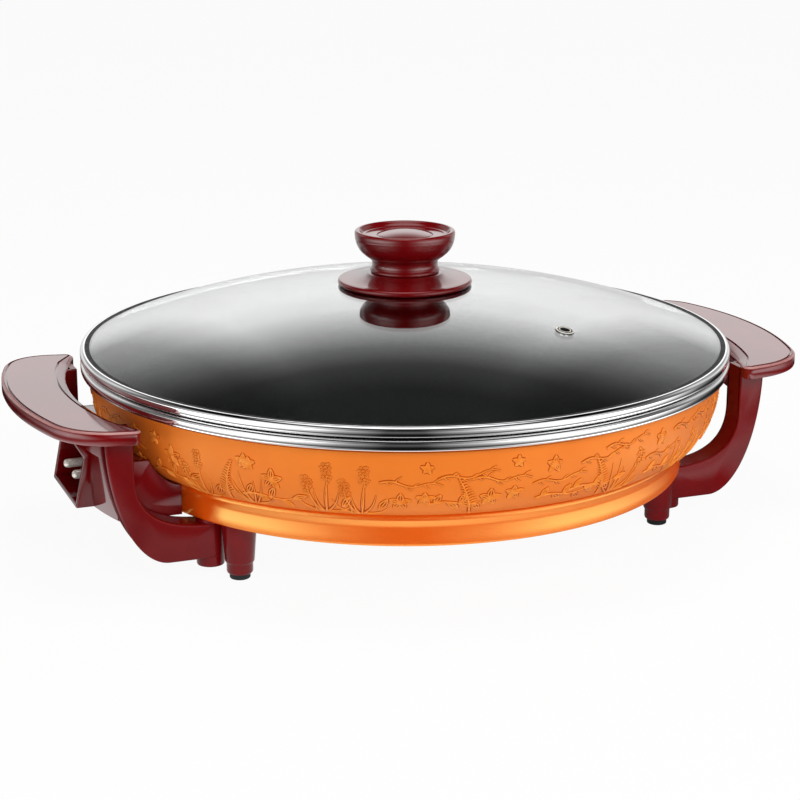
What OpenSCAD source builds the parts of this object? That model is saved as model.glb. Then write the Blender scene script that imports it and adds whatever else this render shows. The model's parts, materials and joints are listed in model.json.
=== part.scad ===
// Round electric grill pan: a shallow pan in an orange shell on a skirt with four feet,
// two side handles, a two-pin inlet under the left handle and a loose domed glass lid.
// The origin is on the pan's axis at the level the feet stand on, with the handles along X.

/* [Pan] */
// Outer diameter of the polished rim
rim_d = 330; // [300:1:360]
// Height of the polished rim
rim_h = 6.2; // [5:0.1:9]
// Chamfer on the rim's top edge
rim_chamfer = 1.2; // [0.5:0.1:2]
// Inner depth from the rim to the floor
pan_depth = 37.2; // [30:0.1:50]
// Thickness of the pan floor
pan_floor = 3.6; // [2.5:0.1:6]
// Thickness of the pan wall
pan_wall = 2.4; // [1.8:0.1:3.5]
// Diameter of the studs under the floor
stud_d = 10; // [8:0.5:14]
// Diameter of the circle that the studs stand on
stud_circle_d = 100; // [80:1:120]

/* [Outer shell] */
// How far the shell's top edge stands in from the rim
shell_inset = 5; // [3.5:0.1:8]
// Thickness of the shell
shell_wall = 1.2; // [0.8:0.1:2]
// How far the belly's control point stands out past the top edge
belly_out = 2; // [0:0.1:6]
// Drop of the belly's control point below the top edge
belly_drop = 16.8; // [12:0.1:25]
// Length of the round toe at the bottom of the bowl
toe = 12; // [6:0.1:16]
// Air gap between the shell and the pan inside it
nest_gap = 0.3; // [0.1:0.05:0.6]

/* [Base] */
// Outer diameter of the base skirt
skirt_d = 284.4; // [260:0.2:300]
// Height of the base skirt
skirt_h = 15.7; // [14:0.1:24]
// Thickness of the skirt
skirt_wall = 1.2; // [0.8:0.1:2]
// How far the round bead at the top of the skirt stands out
skirt_bead = 0.8; // [0.4:0.1:1.5]
// Width of the flange turned in at the top of the skirt
skirt_flange = 12; // [8:0.5:16]
// Width of the lip turned in at the bottom of the skirt
skirt_lip = 23; // [21:0.5:30]
// Thickness of the base plate
base_plate_t = 1.2; // [0.8:0.1:2]

/* [Feet] */
// Height of the skirt above the table
foot_h = 28.3; // [26:0.1:40]
// How far the foot centres stand in from the skirt
foot_inset = 10.5; // [9:0.1:12]
// Gap between a foot and the handle boss beside it
foot_gap = 0.9; // [0.5:0.1:4]
// Diameter of a foot post at the top
foot_top_d = 17; // [15:0.1:19]
// Diameter of a foot post above its collar
foot_low_d = 14; // [13.2:0.1:15]
// Diameter of the collar
collar_d = 12.7; // [11:0.1:13]
// Height of the collar
collar_h = 5.4; // [3:0.1:8]
// Diameter of the rubber tip
tip_d = 10; // [9.6:0.1:12]
// Height of the rubber tip below the collar
tip_h = 2.6; // [2:0.1:4]

/* [Handles] */
// Gap between the rim and the grip
grip_gap = 7.5; // [5:0.1:12]
// Width of the grip at its middle
grip_w = 32; // [28:0.5:40]
// Length of the grip
grip_span = 152; // [146:1:170]
// Width of the grip across its shoulders, less than at its middle by this
grip_taper = 16.3; // [12:0.1:20]
// Thickness of the grip
grip_t = 6.8; // [5:0.1:9]
// Drop of the grip's inner edge below the rim
grip_drop = 6.4; // [4:0.1:10]
// Upward tilt of the grip towards its outer edge
grip_tilt = 3.2; // [0:0.1:6]
// Radius of the grip's outer corners
grip_corner = 28; // [16:0.5:32]
// Radius of the grip's inner corners
grip_inner_corner = 4; // [2:0.5:6]
// How far the arms' outer faces stand in from the ends of the grip
arm_inset = 10; // [7:0.5:13]
// Width of an arm along the handle
arm_depth = 14; // [13.5:0.5:18]
// Thickness of an arm at the grip
arm_t = 12.5; // [9:0.5:14]
// Size of the bend where an arm turns in under the skirt
arm_bend = 27; // [20:0.5:32]
// Thickness of an arm's outer cheek
cheek_t = 2.5; // [2:0.1:4]
// Height of the arm's foot under the skirt
arm_low_t = 17; // [12:0.5:18]
// Gap between the arm's foot and the skirt
arm_gap = 1.7; // [1:0.1:3]
// Diameter of the screw boss at the end of an arm
boss_d = 13.4; // [12:0.1:15]
// How far the boss stands below its arm
boss_drop = 5; // [2:0.1:6]
// How far the boss centres stand in from the skirt
boss_inset = 6.6; // [6.2:0.1:8]
// Thickness of the apron below the grip's inner edge, and of the arms' inner walls
apron_t = 3; // [2:0.1:5]
// Height of the apron below the grip
apron_h = 15.5; // [10:0.5:20]
// Radius of the corners where the apron meets the arms
window_corner = 8; // [4:0.5:12]

/* [Inlet] */
// Outer width of the socket mouth
shroud_w = 52; // [46:1:60]
// Wall thickness of the inlet housing
shroud_wall = 2.2; // [1.6:0.1:3]
// Reach of the mouth's lower edge past the grip's inner edge
mouth_low = 6.8; // [4:0.1:12]
// Reach of the mouth's bend past the grip's inner edge
mouth_bend = 1.8; // [1:0.1:4]
// Reach of the mouth's upper edge past the grip's inner edge
mouth_top = 17; // [12:0.5:20]
// Height of the mouth's bend above the housing's floor
mouth_bend_h = 24.8; // [20:0.1:27]
// Diameter of the terminal pins
pin_d = 4.5; // [4:0.1:5]
// Distance between the pins
pin_pitch = 19; // [16:0.5:24]
// Reach of the pin tips past the grip's inner edge
pin_reach = 4.6; // [2:0.1:6]
// Thickness of the insulating plate that holds the pins
pin_plate_t = 3; // [2:0.1:4]
// Gap between the housing and the pan
housing_gap = 1; // [0.5:0.1:2]

/* [Heating element] */
// Diameter of the sheathed tube
element_d = 6.5; // [5.5:0.1:7]
// Diameter of the tube's ring, at its middle
element_ring_d = 190; // [170:1:210]
// Radius of the bends where the ring turns into its two legs
element_bend = 16; // [12:0.5:22]
// Reach of the legs inside the skirt
leg_inset = 8; // [6:0.5:12]
// Length of the ceramic beads
bead_l = 11; // [8:0.5:14]
// Thickness of the heat spreader
spreader_t = 1.5; // [1:0.1:2.5]
// Width of the heat spreader
spreader_w = 40; // [20:1:50]

/* [Lid] */
// Gap between the lid band and the pan rim
lid_gap = 0.3; // [0.2:0.05:0.6]
// Rise of the glass dome above its edge band
dome_rise = 29.6; // [22:0.1:45]
// Thickness of the glass
glass_t = 3.2; // [2.5:0.1:5]
// Sheet thickness of the edge band
band_sheet = 0.6; // [0.4:0.05:1]
// Width of the band's lip over the glass
band_lip = 2.9; // [2:0.1:5]
// Depth of the band's skirt inside the pan
band_skirt_h = 5; // [3:0.1:6]
// Gap between the band's skirt and the pan
band_skirt_gap = 0.7; // [0.4:0.1:1.5]
// Gap left around the glass in the band
glass_gap = 0.1; // [0.05:0.05:0.3]

/* [Vent] */
// Distance of the vent from the axis
vent_r = 98.8; // [80:0.1:120]
// Direction of the vent
vent_angle = -59.7; // [-180:0.1:180]
// Outer diameter of the eyelet
vent_flange_d = 9.4; // [8.5:0.1:12]
// Diameter of the steam hole
vent_hole_d = 4.5; // [3:0.1:5]
// Sheet thickness of the eyelet
vent_sheet = 0.8; // [0.5:0.1:1.2]

/* [Knob] */
// Diameter of the flange on the glass
knob_flange_d = 68.5; // [60:0.5:76]
// Thickness of the flange at its edge
knob_flange_t = 3; // [2:0.1:4]
// Height of the flange above the top of the glass
knob_flange_h = 5.2; // [4:0.1:8]
// Diameter of the neck
knob_neck_d = 33; // [28:0.5:38]
// Height of the neck
knob_neck_h = 7.2; // [4:0.1:12]
// Diameter of the cup
knob_cup_d = 51; // [44:0.5:58]
// Height of the cup
knob_cup_h = 14.4; // [11:0.1:20]
// Depth of the dish in the top of the cup
knob_dish = 2.6; // [1.5:0.1:4]
// Width of the cup's rounded edge
knob_edge = 3; // [2:0.1:4]
// Diameter of the domed insert
knob_cap_d = 28; // [22:0.5:32]
// Rise of the domed insert
knob_cap_rise = 2.2; // [1:0.1:3]
// Thickness of the gasket under the flange
gasket_t = 1; // [0.6:0.1:1.6]
// Outer diameter of the gasket
gasket_d = 52; // [40:1:56]
// Diameter of the washer under the glass
washer_d = 16; // [13:0.5:20]
// Thickness of the washer
washer_t = 1; // [0.6:0.1:1.6]
// Length of the knob screw above the glass
knob_screw_l = 15; // [10:0.5:18]

/* [Fasteners] */
// Diameter of the screws
screw_d = 4; // [3.5:0.1:4.5]
// Diameter of the screw heads
screw_head_d = 7.6; // [7:0.1:8]
// Height of the screw heads
screw_head_h = 3; // [2:0.1:3.2]
// Height of plastic held under each foot and handle screw
screw_grip = 15.5; // [13:0.1:18]
// Width of the nuts across their flats
nut_w = 7; // [6.5:0.1:7.5]
// Height of the nuts
nut_h = 3.2; // [2.4:0.1:4]
// Length of the screws that hold the base plate
base_screw_l = 9; // [6:0.5:11]
// Diameter of the screws that hold the inlet housing
small_screw_d = 3; // [2.5:0.1:3.5]
// Length of the screws that hold the inlet housing
small_screw_l = 9; // [7:0.5:11]
// Clearance between pieces that fit together
fit = 0.1; // [0.05:0.05:0.2]

/* [Hidden] */
$fn = 96;

// Colours, as they show
orange = [0.93, 0.50, 0.20];
burgundy = [0.40, 0.06, 0.07];
bright = [0.82, 0.82, 0.83];
steel = [0.70, 0.71, 0.72];
black = [0.06, 0.06, 0.06];

// Segments in a profile's curves
curve_steps = 14;
// Extra length of a cut past the face it opens
past = 1;

// Heights, from the table up
skirt_top = foot_h + skirt_h;
floor_low = skirt_top + shell_wall;
floor_top = floor_low + pan_floor;
rim_top = floor_top + pan_depth;
rim_low = rim_top - rim_h;
lid_low = rim_top + lid_gap;
plate_low = foot_h + skirt_wall;
plate_top = plate_low + base_plate_t;
nut_top = plate_top + nut_h;

// Radii of the pan, the shell and the skirt
rim_r = rim_d / 2;
shell_top_r = rim_r - shell_inset;
skirt_r = skirt_d / 2;
bowl_foot_r = skirt_r - skirt_bead;
skirt_in_r = skirt_r - skirt_wall;
nest = shell_wall + nest_gap;
mouth_r = shell_top_r - nest - pan_wall;

// Cubic curve through four control points
function bezier(p) = [for (i = [0 : curve_steps]) let (t = i / curve_steps, s = 1 - t)
    s * s * s * p[0] + 3 * s * s * t * p[1] + 3 * s * t * t * p[2] + t * t * t * p[3]];
// Points on an arc about a centre
function arc(centre, r, a0, a1) = [for (i = [0 : curve_steps])
    let (a = a0 + (a1 - a0) * i / curve_steps) centre + r * [cos(a), sin(a)]];
// Direction of a curve at one of its points
function heading(p, i) = let (d = p[min(i + 1, len(p) - 1)] - p[max(i - 1, 0)]) d / norm(d);
// A curve moved sideways, to the right of its direction
function beside(p, d) = [for (i = [0 : len(p) - 1])
    let (h = heading(p, i)) p[i] + d * [h[1], -h[0]]];
function backwards(p) = [for (i = [len(p) - 1 : -1 : 0]) p[i]];

// Side of the bowl from its top edge to the skirt, as radius and height
bowl = bezier([[shell_top_r, rim_low], [shell_top_r + belly_out, rim_low - belly_drop],
    [bowl_foot_r + toe, skirt_top], [bowl_foot_r, skirt_top]]);

// Height at which the bowl's lower part reaches a radius
function bowl_height(r) = lookup(r, [for (p = bowl) if (p[1] < rim_low - belly_drop) p]);

// Feet and bosses
arm_face_y = grip_span / 2 - arm_inset;
seat_z = foot_h - screw_grip;
screw_l = screw_grip + nut_top - foot_h + past;
boss_y = arm_face_y - arm_depth / 2;
boss_r = skirt_r - boss_inset;
boss_x = sqrt(boss_r * boss_r - boss_y * boss_y);
foot_r = skirt_r - foot_inset;
foot_step = (foot_top_d + boss_d) / 2 + foot_gap;
foot_angle = atan2(boss_y, boss_x)
    + acos((foot_r * foot_r + boss_r * boss_r - foot_step * foot_step) / (2 * foot_r * boss_r));
arm_in_y = arm_face_y - arm_depth;
arm_end_r = boss_r + 2;
counterbore_d = screw_head_d + 8 * fit;

// Handles
grip_r = rim_r + grip_gap;
grip_z = rim_top - grip_drop;
grip_low = grip_z - grip_t;
arm_out_r = grip_r + arm_t;
apron_low = grip_low - apron_h;
arm_top = foot_h - arm_gap;
arm_low = arm_top - arm_low_t;
boss_low = arm_low - boss_drop;

// Heating element and pins
element_z = floor_low - spreader_t - fit - element_d / 2;
element_r = element_ring_d / 2;
leg_y = pin_pitch / 2;
leg_x = skirt_r - leg_inset;
bead_d = element_d;
notch_y = leg_y + element_d;
notch_z = element_z - element_d / 2 - past;
pin_tip_x = grip_r + pin_reach;

// Inlet housing
box_r = grip_r - 3 * fit;
box_top = apron_low - 3 * fit;
box_y = arm_in_y - 2 * fit;
shroud_y = shroud_w / 2;
shroud_in_y = shroud_y - shroud_wall;
housing_floor = foot_h + shroud_wall;
plate_x = (skirt_r + grip_r + pin_plate_t) / 2;
pin_plate_top = min(box_top - shroud_wall - fit, bowl_height(plate_x - pin_plate_t - 2 * housing_gap));
housing_screw_angle = atan2((shroud_y + box_y) / 2, skirt_r);
housing_screw_z = (housing_floor + element_z) / 2;
housing_boss_d = 2.4 * small_screw_d;
housing_boss_r = skirt_r + small_screw_l;

// Lid: a spherical dome held in its edge band
band_r = rim_r;
lip_r = band_r - band_lip;
glass_r = band_r - band_sheet - glass_gap;
dome_r = (lip_r * lip_r + dome_rise * dome_rise) / (2 * dome_rise);
dome_in_r = dome_r - glass_t;
edge_drop = dome_r - sqrt(dome_in_r * dome_in_r - glass_r * glass_r);
band_floor = lid_low + band_sheet;
apex = band_floor + glass_gap + edge_drop;
dome_z = apex - dome_r;
band_top = apex - dome_rise + glass_gap + band_sheet;
band_skirt_r = mouth_r - band_skirt_gap;

// Knob
knob_low = apex + knob_flange_h;
cup_low = knob_low + knob_neck_h;
knob_top = cup_low + knob_cup_h;
flange_r = knob_flange_d / 2;
neck_r = knob_neck_d / 2;
cup_r = knob_cup_d / 2;
dish_z = knob_top - knob_dish;
dish_r = cup_r - knob_edge;
cap_r = knob_cap_d / 2;
cap_pocket = 2;
screw_hole_d = screw_d + 4 * fit;

// Height of a sphere about the dome's centre, at a distance from the axis
function dome_height(r_sphere, r) = dome_z + sqrt(r_sphere * r_sphere - r * r);
// Points along such a sphere, outwards
function dome_arc(r_sphere, r0, r1) = [for (i = [0 : 2 * curve_steps])
    let (r = r0 + (r1 - r0) * i / (2 * curve_steps)) [r, dome_height(r_sphere, r)]];

// Places children at the four feet
module at_foot(right, back) {
    a = back ? foot_angle : -foot_angle;
    rotate(right ? a : 180 - a)
    translate([foot_r, 0, 0])
    children();
}

// Places children at all four feet
module at_feet() {
    for (right = [false, true], back = [false, true])
        at_foot(right, back) children();
}

// Places children at all four handle bosses
module at_bosses() {
    for (x = [-boss_x, boss_x], y = [-boss_y, boss_y])
        translate([x, y, 0]) children();
}

// Places children at the four studs under the pan
module at_studs() {
    for (a = [45 : 90 : 315])
        rotate(a) translate([stud_circle_d / 2, 0, 0]) children();
}

// Places children at both pins, with +Z pointing out of the inlet
module at_pins(x) {
    for (y = [-leg_y, leg_y])
        translate([-x, y, element_z]) rotate([0, -90, 0]) children();
}

// Screw with its head below the given height
module screw(z, l, d, head_d, head_h) {
    translate([0, 0, z]) cylinder(d = d, h = l);
    translate([0, 0, z - head_h]) cylinder(d = head_d, h = head_h);
}

module nut() {
    difference() {
        translate([0, 0, plate_top]) cylinder(d = nut_w / cos(30), h = nut_h, $fn = 6);
        translate([0, 0, plate_top - past]) cylinder(d = screw_d + 2 * fit, h = nut_h + 2 * past);
    }
}

// Holes for the foot and handle screws through a plate at the bottom of the skirt
module base_holes() {
    translate([0, 0, foot_h - past]) {
        at_feet() cylinder(d = screw_hole_d, h = nut_top);
        at_bosses() cylinder(d = screw_hole_d, h = nut_top);
    }
}

module cooking_pan() {
    outside = backwards(beside(bowl, nest));
    inside = [for (p = beside(bowl, nest + pan_wall)) if (p[1] > floor_top + past) p];
    color(bright) {
        rotate_extrude()
        polygon(concat([[0, floor_low], [bowl_foot_r - past, floor_low]],
            outside,
            [[shell_top_r + fit, rim_low], [rim_r, rim_low + rim_h / 2],
            [rim_r, rim_top - rim_chamfer], [rim_r - rim_chamfer, rim_top], [mouth_r, rim_top]],
            inside,
            [[inside[len(inside) - 1][0] - 3 * past, floor_top], [0, floor_top]]));
        difference() {
            at_studs()
            translate([0, 0, plate_top]) cylinder(d = stud_d, h = floor_low - plate_top);
            at_studs()
            translate([0, 0, plate_top - past]) cylinder(d = screw_d + 2 * fit, h = base_screw_l + past);
        }
    }
}

module outer_shell() {
    flange_in = bowl_foot_r - skirt_flange;
    color(orange)
    rotate_extrude()
    polygon(concat(bowl, [[flange_in, skirt_top], [flange_in, skirt_top + shell_wall]],
        backwards(beside(bowl, shell_wall))));
}

module heat_spreader() {
    color(steel)
    translate([0, 0, floor_low - spreader_t])
    difference() {
        cylinder(r = element_r + spreader_w / 2, h = spreader_t);
        translate([0, 0, -past]) cylinder(r = element_r - spreader_w / 2, h = spreader_t + 2 * past);
    }
}

// Half of the tube's route in plan: the leg, the bend and half of the ring
function element_route() =
    let (bend_y = leg_y + element_bend,
        bend_x = sqrt(pow(element_r + element_bend, 2) - bend_y * bend_y),
        ring_angle = 180 - atan2(bend_y, bend_x))
    concat([[-leg_x, leg_y]],
        arc([-bend_x, bend_y], element_bend, -90, ring_angle - 180),
        [for (i = [1 : 2 * curve_steps]) let (a = ring_angle * (1 - i / (2 * curve_steps)))
            element_r * [cos(a), sin(a)]]);

// The tube runs in along one leg, round the ring and out along the other
module heating_element() {
    sides = 12;
    half = element_route();
    route = concat(half, [for (i = [len(half) - 2 : -1 : 0]) [half[i][0], -half[i][1]]]);
    rings = len(route);
    points = [for (i = [0 : rings - 1], k = [0 : sides - 1])
        let (h = heading(route, i), a = 360 * (k + 0.5) / sides, r = element_d / 2)
        [route[i][0] + r * cos(a) * h[1], route[i][1] - r * cos(a) * h[0], element_z + r * sin(a)]];
    walls = [for (i = [0 : rings - 2], k = [0 : sides - 1]) let (n = (k + 1) % sides)
        [i * sides + k, i * sides + n, (i + 1) * sides + n, (i + 1) * sides + k]];
    color(steel)
    polyhedron(points, concat(walls, [[for (k = [sides - 1 : -1 : 0]) k],
        [for (k = [0 : sides - 1]) (rings - 1) * sides + k]]));
}

// The pins start at the ends of the tube and have round tips
module terminal_pins() {
    pin_l = pin_tip_x - leg_x;
    color(bright)
    at_pins(leg_x) {
        cylinder(d = pin_d, h = pin_l - pin_d / 2, $fn = 32);
        translate([0, 0, pin_l - pin_d / 2]) sphere(d = pin_d, $fn = 32);
    }
}

module terminal_beads() {
    color("white")
    at_pins(leg_x)
    difference() {
        cylinder(d = bead_d, h = bead_l, $fn = 32);
        translate([0, 0, -past]) cylinder(d = pin_d + 2 * fit, h = bead_l + 2 * past, $fn = 32);
    }
}

module base_skirt() {
    bead_r = 3 * skirt_bead;
    lip_in_r = skirt_r - skirt_lip;
    flange_in_r = bowl_foot_r - skirt_flange;
    color(orange)
    difference() {
        rotate_extrude()
        polygon(concat([[lip_in_r, foot_h], [skirt_in_r, foot_h], [skirt_r, plate_low],
            [skirt_r, skirt_top - 2 * bead_r]],
            arc([skirt_r + skirt_bead - bead_r, skirt_top - bead_r], bead_r, -30, 90),
            [[flange_in_r, skirt_top], [flange_in_r, skirt_top - skirt_wall],
            [skirt_in_r, skirt_top - skirt_wall], [skirt_in_r, plate_low], [lip_in_r, plate_low]]));
        base_holes();
        translate([-skirt_r - 2 * skirt_bead, -notch_y, notch_z])
        cube([skirt_flange + 6 * skirt_bead + past, 2 * notch_y, skirt_h]);
        at_housing_screws() cylinder(d = small_screw_d + 4 * fit, h = skirt_r + past);
    }
}

module base_plate() {
    color(steel)
    difference() {
        translate([0, 0, plate_low]) cylinder(r = skirt_in_r - fit, h = base_plate_t);
        base_holes();
        at_studs()
        translate([0, 0, foot_h]) cylinder(d = screw_hole_d, h = nut_top);
    }
}

module base_screws() {
    color(steel)
    at_studs() screw(plate_low, base_screw_l, screw_d, screw_head_d, screw_head_h);
}

// Outline of a grip in plan: its inner edge follows the pan, its outer edge is a wider arc
function grip_outline() =
    let (half = grip_span / 2,
        reach = grip_r + grip_w,
        outer_r = (half * half + grip_taper * grip_taper) / (2 * grip_taper),
        outer_c = reach - outer_r,
        corner_y = half - grip_corner,
        corner_x = outer_c + sqrt(pow(outer_r - grip_corner, 2) - corner_y * corner_y),
        corner_a = atan2(corner_y, corner_x - outer_c),
        inner_y = half - grip_inner_corner,
        inner_x = sqrt(pow(grip_r + grip_inner_corner, 2) - inner_y * inner_y),
        inner_a = atan2(inner_y, inner_x))
    concat(arc([outer_c, 0], outer_r, -corner_a, corner_a),
        arc([corner_x, corner_y], grip_corner, corner_a, 90),
        arc([inner_x, inner_y], grip_inner_corner, 90, 180 + inner_a),
        arc([0, 0], grip_r, inner_a, -inner_a),
        arc([inner_x, -inner_y], grip_inner_corner, 180 - inner_a, 270),
        arc([corner_x, -corner_y], grip_corner, -90, -corner_a));

// A tilted slab whose top is the grip's top face
module grip_slab(top, t) {
    translate([grip_r, 0, grip_z + top]) rotate([0, -grip_tilt, 0])
    translate([-grip_r / 2, -grip_span, -t]) cube([grip_r, 2 * grip_span, t]);
}

// Section of an arm, as radius in the plane of its face and height: down and in under the skirt
function arm_section() =
    concat(bezier([[arm_out_r, grip_low + grip_t / 2], [arm_out_r, arm_low + arm_bend],
            [arm_out_r - arm_bend / 2, arm_low], [arm_out_r - arm_bend, arm_low]]),
        [[arm_end_r, arm_low]],
        arm_inner());

// Inner edge of that section, from the boss up to the grip
function arm_inner() =
    concat(bezier([[arm_end_r, arm_top], [grip_r - arm_bend / 2, arm_top],
            [grip_r, arm_top + arm_bend / 4], [grip_r, arm_top + arm_bend]]),
        [[grip_r, grip_low + grip_t / 2]]);

// Section of the hollow behind an arm's cheek, open to the outside
function arm_hollow() =
    concat([for (p = beside(arm_inner(), apron_t)) if (p[1] < grip_low - apron_t) p],
        [[grip_r + apron_t, grip_low - apron_t], [arm_out_r + past, grip_low - apron_t],
        [arm_out_r + past, arm_low - past], [arm_end_r - past, arm_low - past],
        [arm_end_r - past, arm_top - apron_t]]);

// Distance from the Y axis of a radius in the plane of the arms' outer faces
function across(r) = sqrt(r * r - arm_face_y * arm_face_y);

// Section run straight along both arms, between two distances from the handle axis
module arm_pair(section, near, far) {
    for (y = [-near, far])
        translate([0, y, 0]) rotate([90, 0, 0])
        linear_extrude(far - near) polygon([for (p = section) [across(p[0]), p[1]]]);
}

// Each arm is two cheeks and an inner wall, hollow behind
module arms() {
    difference() {
        arm_pair(arm_section(), arm_in_y, arm_face_y);
        arm_pair(arm_hollow(), arm_in_y + cheek_t, arm_face_y - cheek_t);
    }
}

// Thin wall below the grip's inner edge, with round corners where it meets the arms
module apron() {
    corner_y = arm_in_y - window_corner;
    intersection() {
        translate([0, 0, apron_low - window_corner])
        difference() {
            cylinder(r = grip_r + apron_t - fit, h = apron_h + window_corner + grip_t / 2);
            translate([0, 0, -past]) cylinder(r = grip_r + fit, h = rim_top);
        }
        rotate([90, 0, 90]) linear_extrude(2 * grip_r)
        polygon(concat([[-arm_in_y - past, grip_z], [-arm_in_y - past, apron_low - window_corner]],
            arc([-corner_y, apron_low - window_corner], window_corner, 180, 90),
            arc([corner_y, apron_low - window_corner], window_corner, 90, 0),
            [[arm_in_y + past, apron_low - window_corner], [arm_in_y + past, grip_z]]));
    }
}

module handle() {
    difference() {
        union() {
            intersection() {
                linear_extrude(2 * rim_top) polygon(grip_outline());
                grip_slab(0, grip_t);
            }
            arms();
            apron();
            for (y = [-boss_y, boss_y])
                translate([boss_x, y, boss_low]) cylinder(d = boss_d, h = foot_h - boss_low);
        }
        for (y = [-boss_y, boss_y])
            translate([boss_x, y, 0]) {
                cylinder(d = screw_hole_d, h = foot_h + past);
                cylinder(d = counterbore_d, h = seat_z);
            }
    }
}

// The inlet passes through a slot in this handle's apron
module handle_left() {
    color(burgundy)
    difference() {
        rotate(180) handle();
        translate([-grip_r - 2 * apron_t, -shroud_y - 2 * fit, foot_h])
        cube([slot_length(), shroud_w + 4 * fit, grip_low - foot_h]);
    }
}

// Length of the slot across the apron, from outside it to the housing
function slot_length() = 3 * apron_t + grip_r - sqrt(grip_r * grip_r - shroud_y * shroud_y);

module handle_right() {
    color(burgundy) handle();
}

module handle_screws() {
    color(steel)
    at_bosses() screw(seat_z, screw_l, screw_d, screw_head_d, screw_head_h);
}

module handle_nuts() {
    color(steel) at_bosses() nut();
}

// Space that the pan and the skirt need beside the inlet housing
module pan_space() {
    clear_r = skirt_r + housing_gap;
    side = [for (p = backwards(beside(bowl, -housing_gap))) if (p[0] > clear_r) p];
    rotate_extrude()
    polygon(concat([[0, 0], [clear_r, 0], [clear_r, side[0][1]]], side, [[0, rim_low]]));
}

// Places children on the axes of the screws between the skirt and the housing
module at_housing_screws() {
    for (side = [-1, 1])
        rotate(180 + side * housing_screw_angle)
        translate([0, 0, housing_screw_z]) rotate([0, 90, 0]) children();
}

// Side of the socket: upright near the floor, flared out under the grip
function cheek_outline() =
    let (back = plate_x - pin_plate_t / 2, low = foot_h + fit, top = box_top - fit)
    [[back, low], [grip_r + mouth_low, low],
    [grip_r + mouth_bend, foot_h + mouth_bend_h], [grip_r + mouth_top, grip_z],
    [grip_r - apron_t, grip_z], [grip_r - apron_t, top], [back, top]];

// Sector of the terminal box between the arms, shrunk by a wall
module box_sector(wall) {
    intersection() {
        rotate(135) rotate_extrude(angle = 90)
        translate([skirt_r - past, foot_h + wall])
        square([box_r - wall - skirt_r + past, box_top - foot_h - 2 * wall]);
        translate([-2 * grip_r, wall - box_y, 0]) cube([2 * grip_r, 2 * (box_y - wall), rim_top]);
    }
}

module inlet_housing() {
    color(burgundy)
    difference() {
        union() {
            difference() {
                box_sector(0);
                box_sector(shroud_wall);
            }
            at_housing_screws() housing_boss();
            socket_walls();
        }
        pan_space();
        socket_space();
        rotate(180) grip_slab(2 * grip_t, 3 * grip_t + 2 * fit);
        at_housing_screws() cylinder(d = small_screw_d + 2 * fit, h = housing_boss_r - past);
    }
}

// Boss for a housing screw, with a rib down to the floor
module housing_boss() {
    rib_w = 2 * small_screw_d;
    cylinder(d = housing_boss_d, h = housing_boss_r);
    translate([0, -rib_w / 2, 0])
    cube([housing_screw_z - foot_h - shroud_wall / 2, rib_w, housing_boss_r]);
}

module socket_walls() {
    for (y = [-shroud_y, shroud_in_y])
        translate([0, y + shroud_wall, 0]) rotate([90, 0, 0])
        linear_extrude(shroud_wall) mirror([1, 0]) polygon(cheek_outline());
    translate([-grip_r - mouth_low + fit, fit - shroud_y, foot_h + 2 * fit])
    cube([mouth_low + grip_r - plate_x - 2 * fit, shroud_w - 2 * fit, shroud_wall]);
}

// Hollow of the socket, from the pin plate out through the mouth
module socket_space() {
    w = 2 * (shroud_in_y - fit);
    low = housing_floor + 3 * fit;
    translate([-2 * grip_r, -w / 2, low])
    cube([2 * grip_r - plate_x + pin_plate_t, w, box_top - shroud_wall - fit - low]);
}

module pin_plate() {
    w = 2 * (shroud_in_y - fit);
    h = pin_plate_top - housing_floor - fit;
    color(black)
    difference() {
        translate([-plate_x, -w / 2, housing_floor + fit]) cube([pin_plate_t, w, h]);
        at_pins(0) cylinder(d = pin_d + 2 * fit, h = 2 * grip_r, $fn = 32);
    }
}

module housing_screws() {
    head_r = skirt_in_r - fit;
    small_head_h = screw_head_h / 2;
    color(steel)
    at_housing_screws() {
        translate([0, 0, head_r - small_head_h])
        cylinder(d = 2 * small_screw_d, h = small_head_h, $fn = 32);
        translate([0, 0, head_r - fit])
        cylinder(d = small_screw_d, h = small_screw_l, $fn = 32);
    }
}

module foot() {
    collar_top = tip_h + collar_h;
    color(burgundy)
    difference() {
        rotate_extrude($fn = 48)
        polygon([[0, tip_h], [collar_d / 2 - past, tip_h], [collar_d / 2, tip_h + past],
            [collar_d / 2, collar_top - fit], [foot_low_d / 2, collar_top + past / 2],
            [foot_top_d / 2, foot_h], [0, foot_h]]);
        cylinder(d = screw_hole_d, h = foot_h + past, $fn = 48);
        cylinder(d = counterbore_d, h = seat_z, $fn = 48);
    }
}

// Rubber tip with a stem that plugs the screw hole
module foot_tip() {
    stem_top = seat_z - screw_head_h - past;
    color(black)
    rotate_extrude($fn = 48)
    polygon([[0, 0], [tip_d / 2 - past / 2, 0], [tip_d / 2, past / 2], [tip_d / 2, tip_h],
        [counterbore_d / 2 - fit, tip_h], [counterbore_d / 2 - fit, stem_top], [0, stem_top]]);
}

module foot_front_left() {
    at_foot(false, false) foot();
}

module foot_front_right() {
    at_foot(true, false) foot();
}

module foot_back_left() {
    at_foot(false, true) foot();
}

module foot_back_right() {
    at_foot(true, true) foot();
}

module foot_tip_front_left() {
    at_foot(false, false) foot_tip();
}

module foot_tip_front_right() {
    at_foot(true, false) foot_tip();
}

module foot_tip_back_left() {
    at_foot(false, true) foot_tip();
}

module foot_tip_back_right() {
    at_foot(true, true) foot_tip();
}

module foot_screws() {
    color(steel)
    at_feet() screw(seat_z, screw_l, screw_d, screw_head_d, screw_head_h);
}

module foot_nuts() {
    color(steel) at_feet() nut();
}

// Places children on the glass at the vent, with +Z square to the glass
module at_vent() {
    translate([0, 0, dome_z]) rotate([0, asin(vent_r / dome_r), vent_angle])
    translate([0, 0, dome_r]) children();
}

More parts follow.
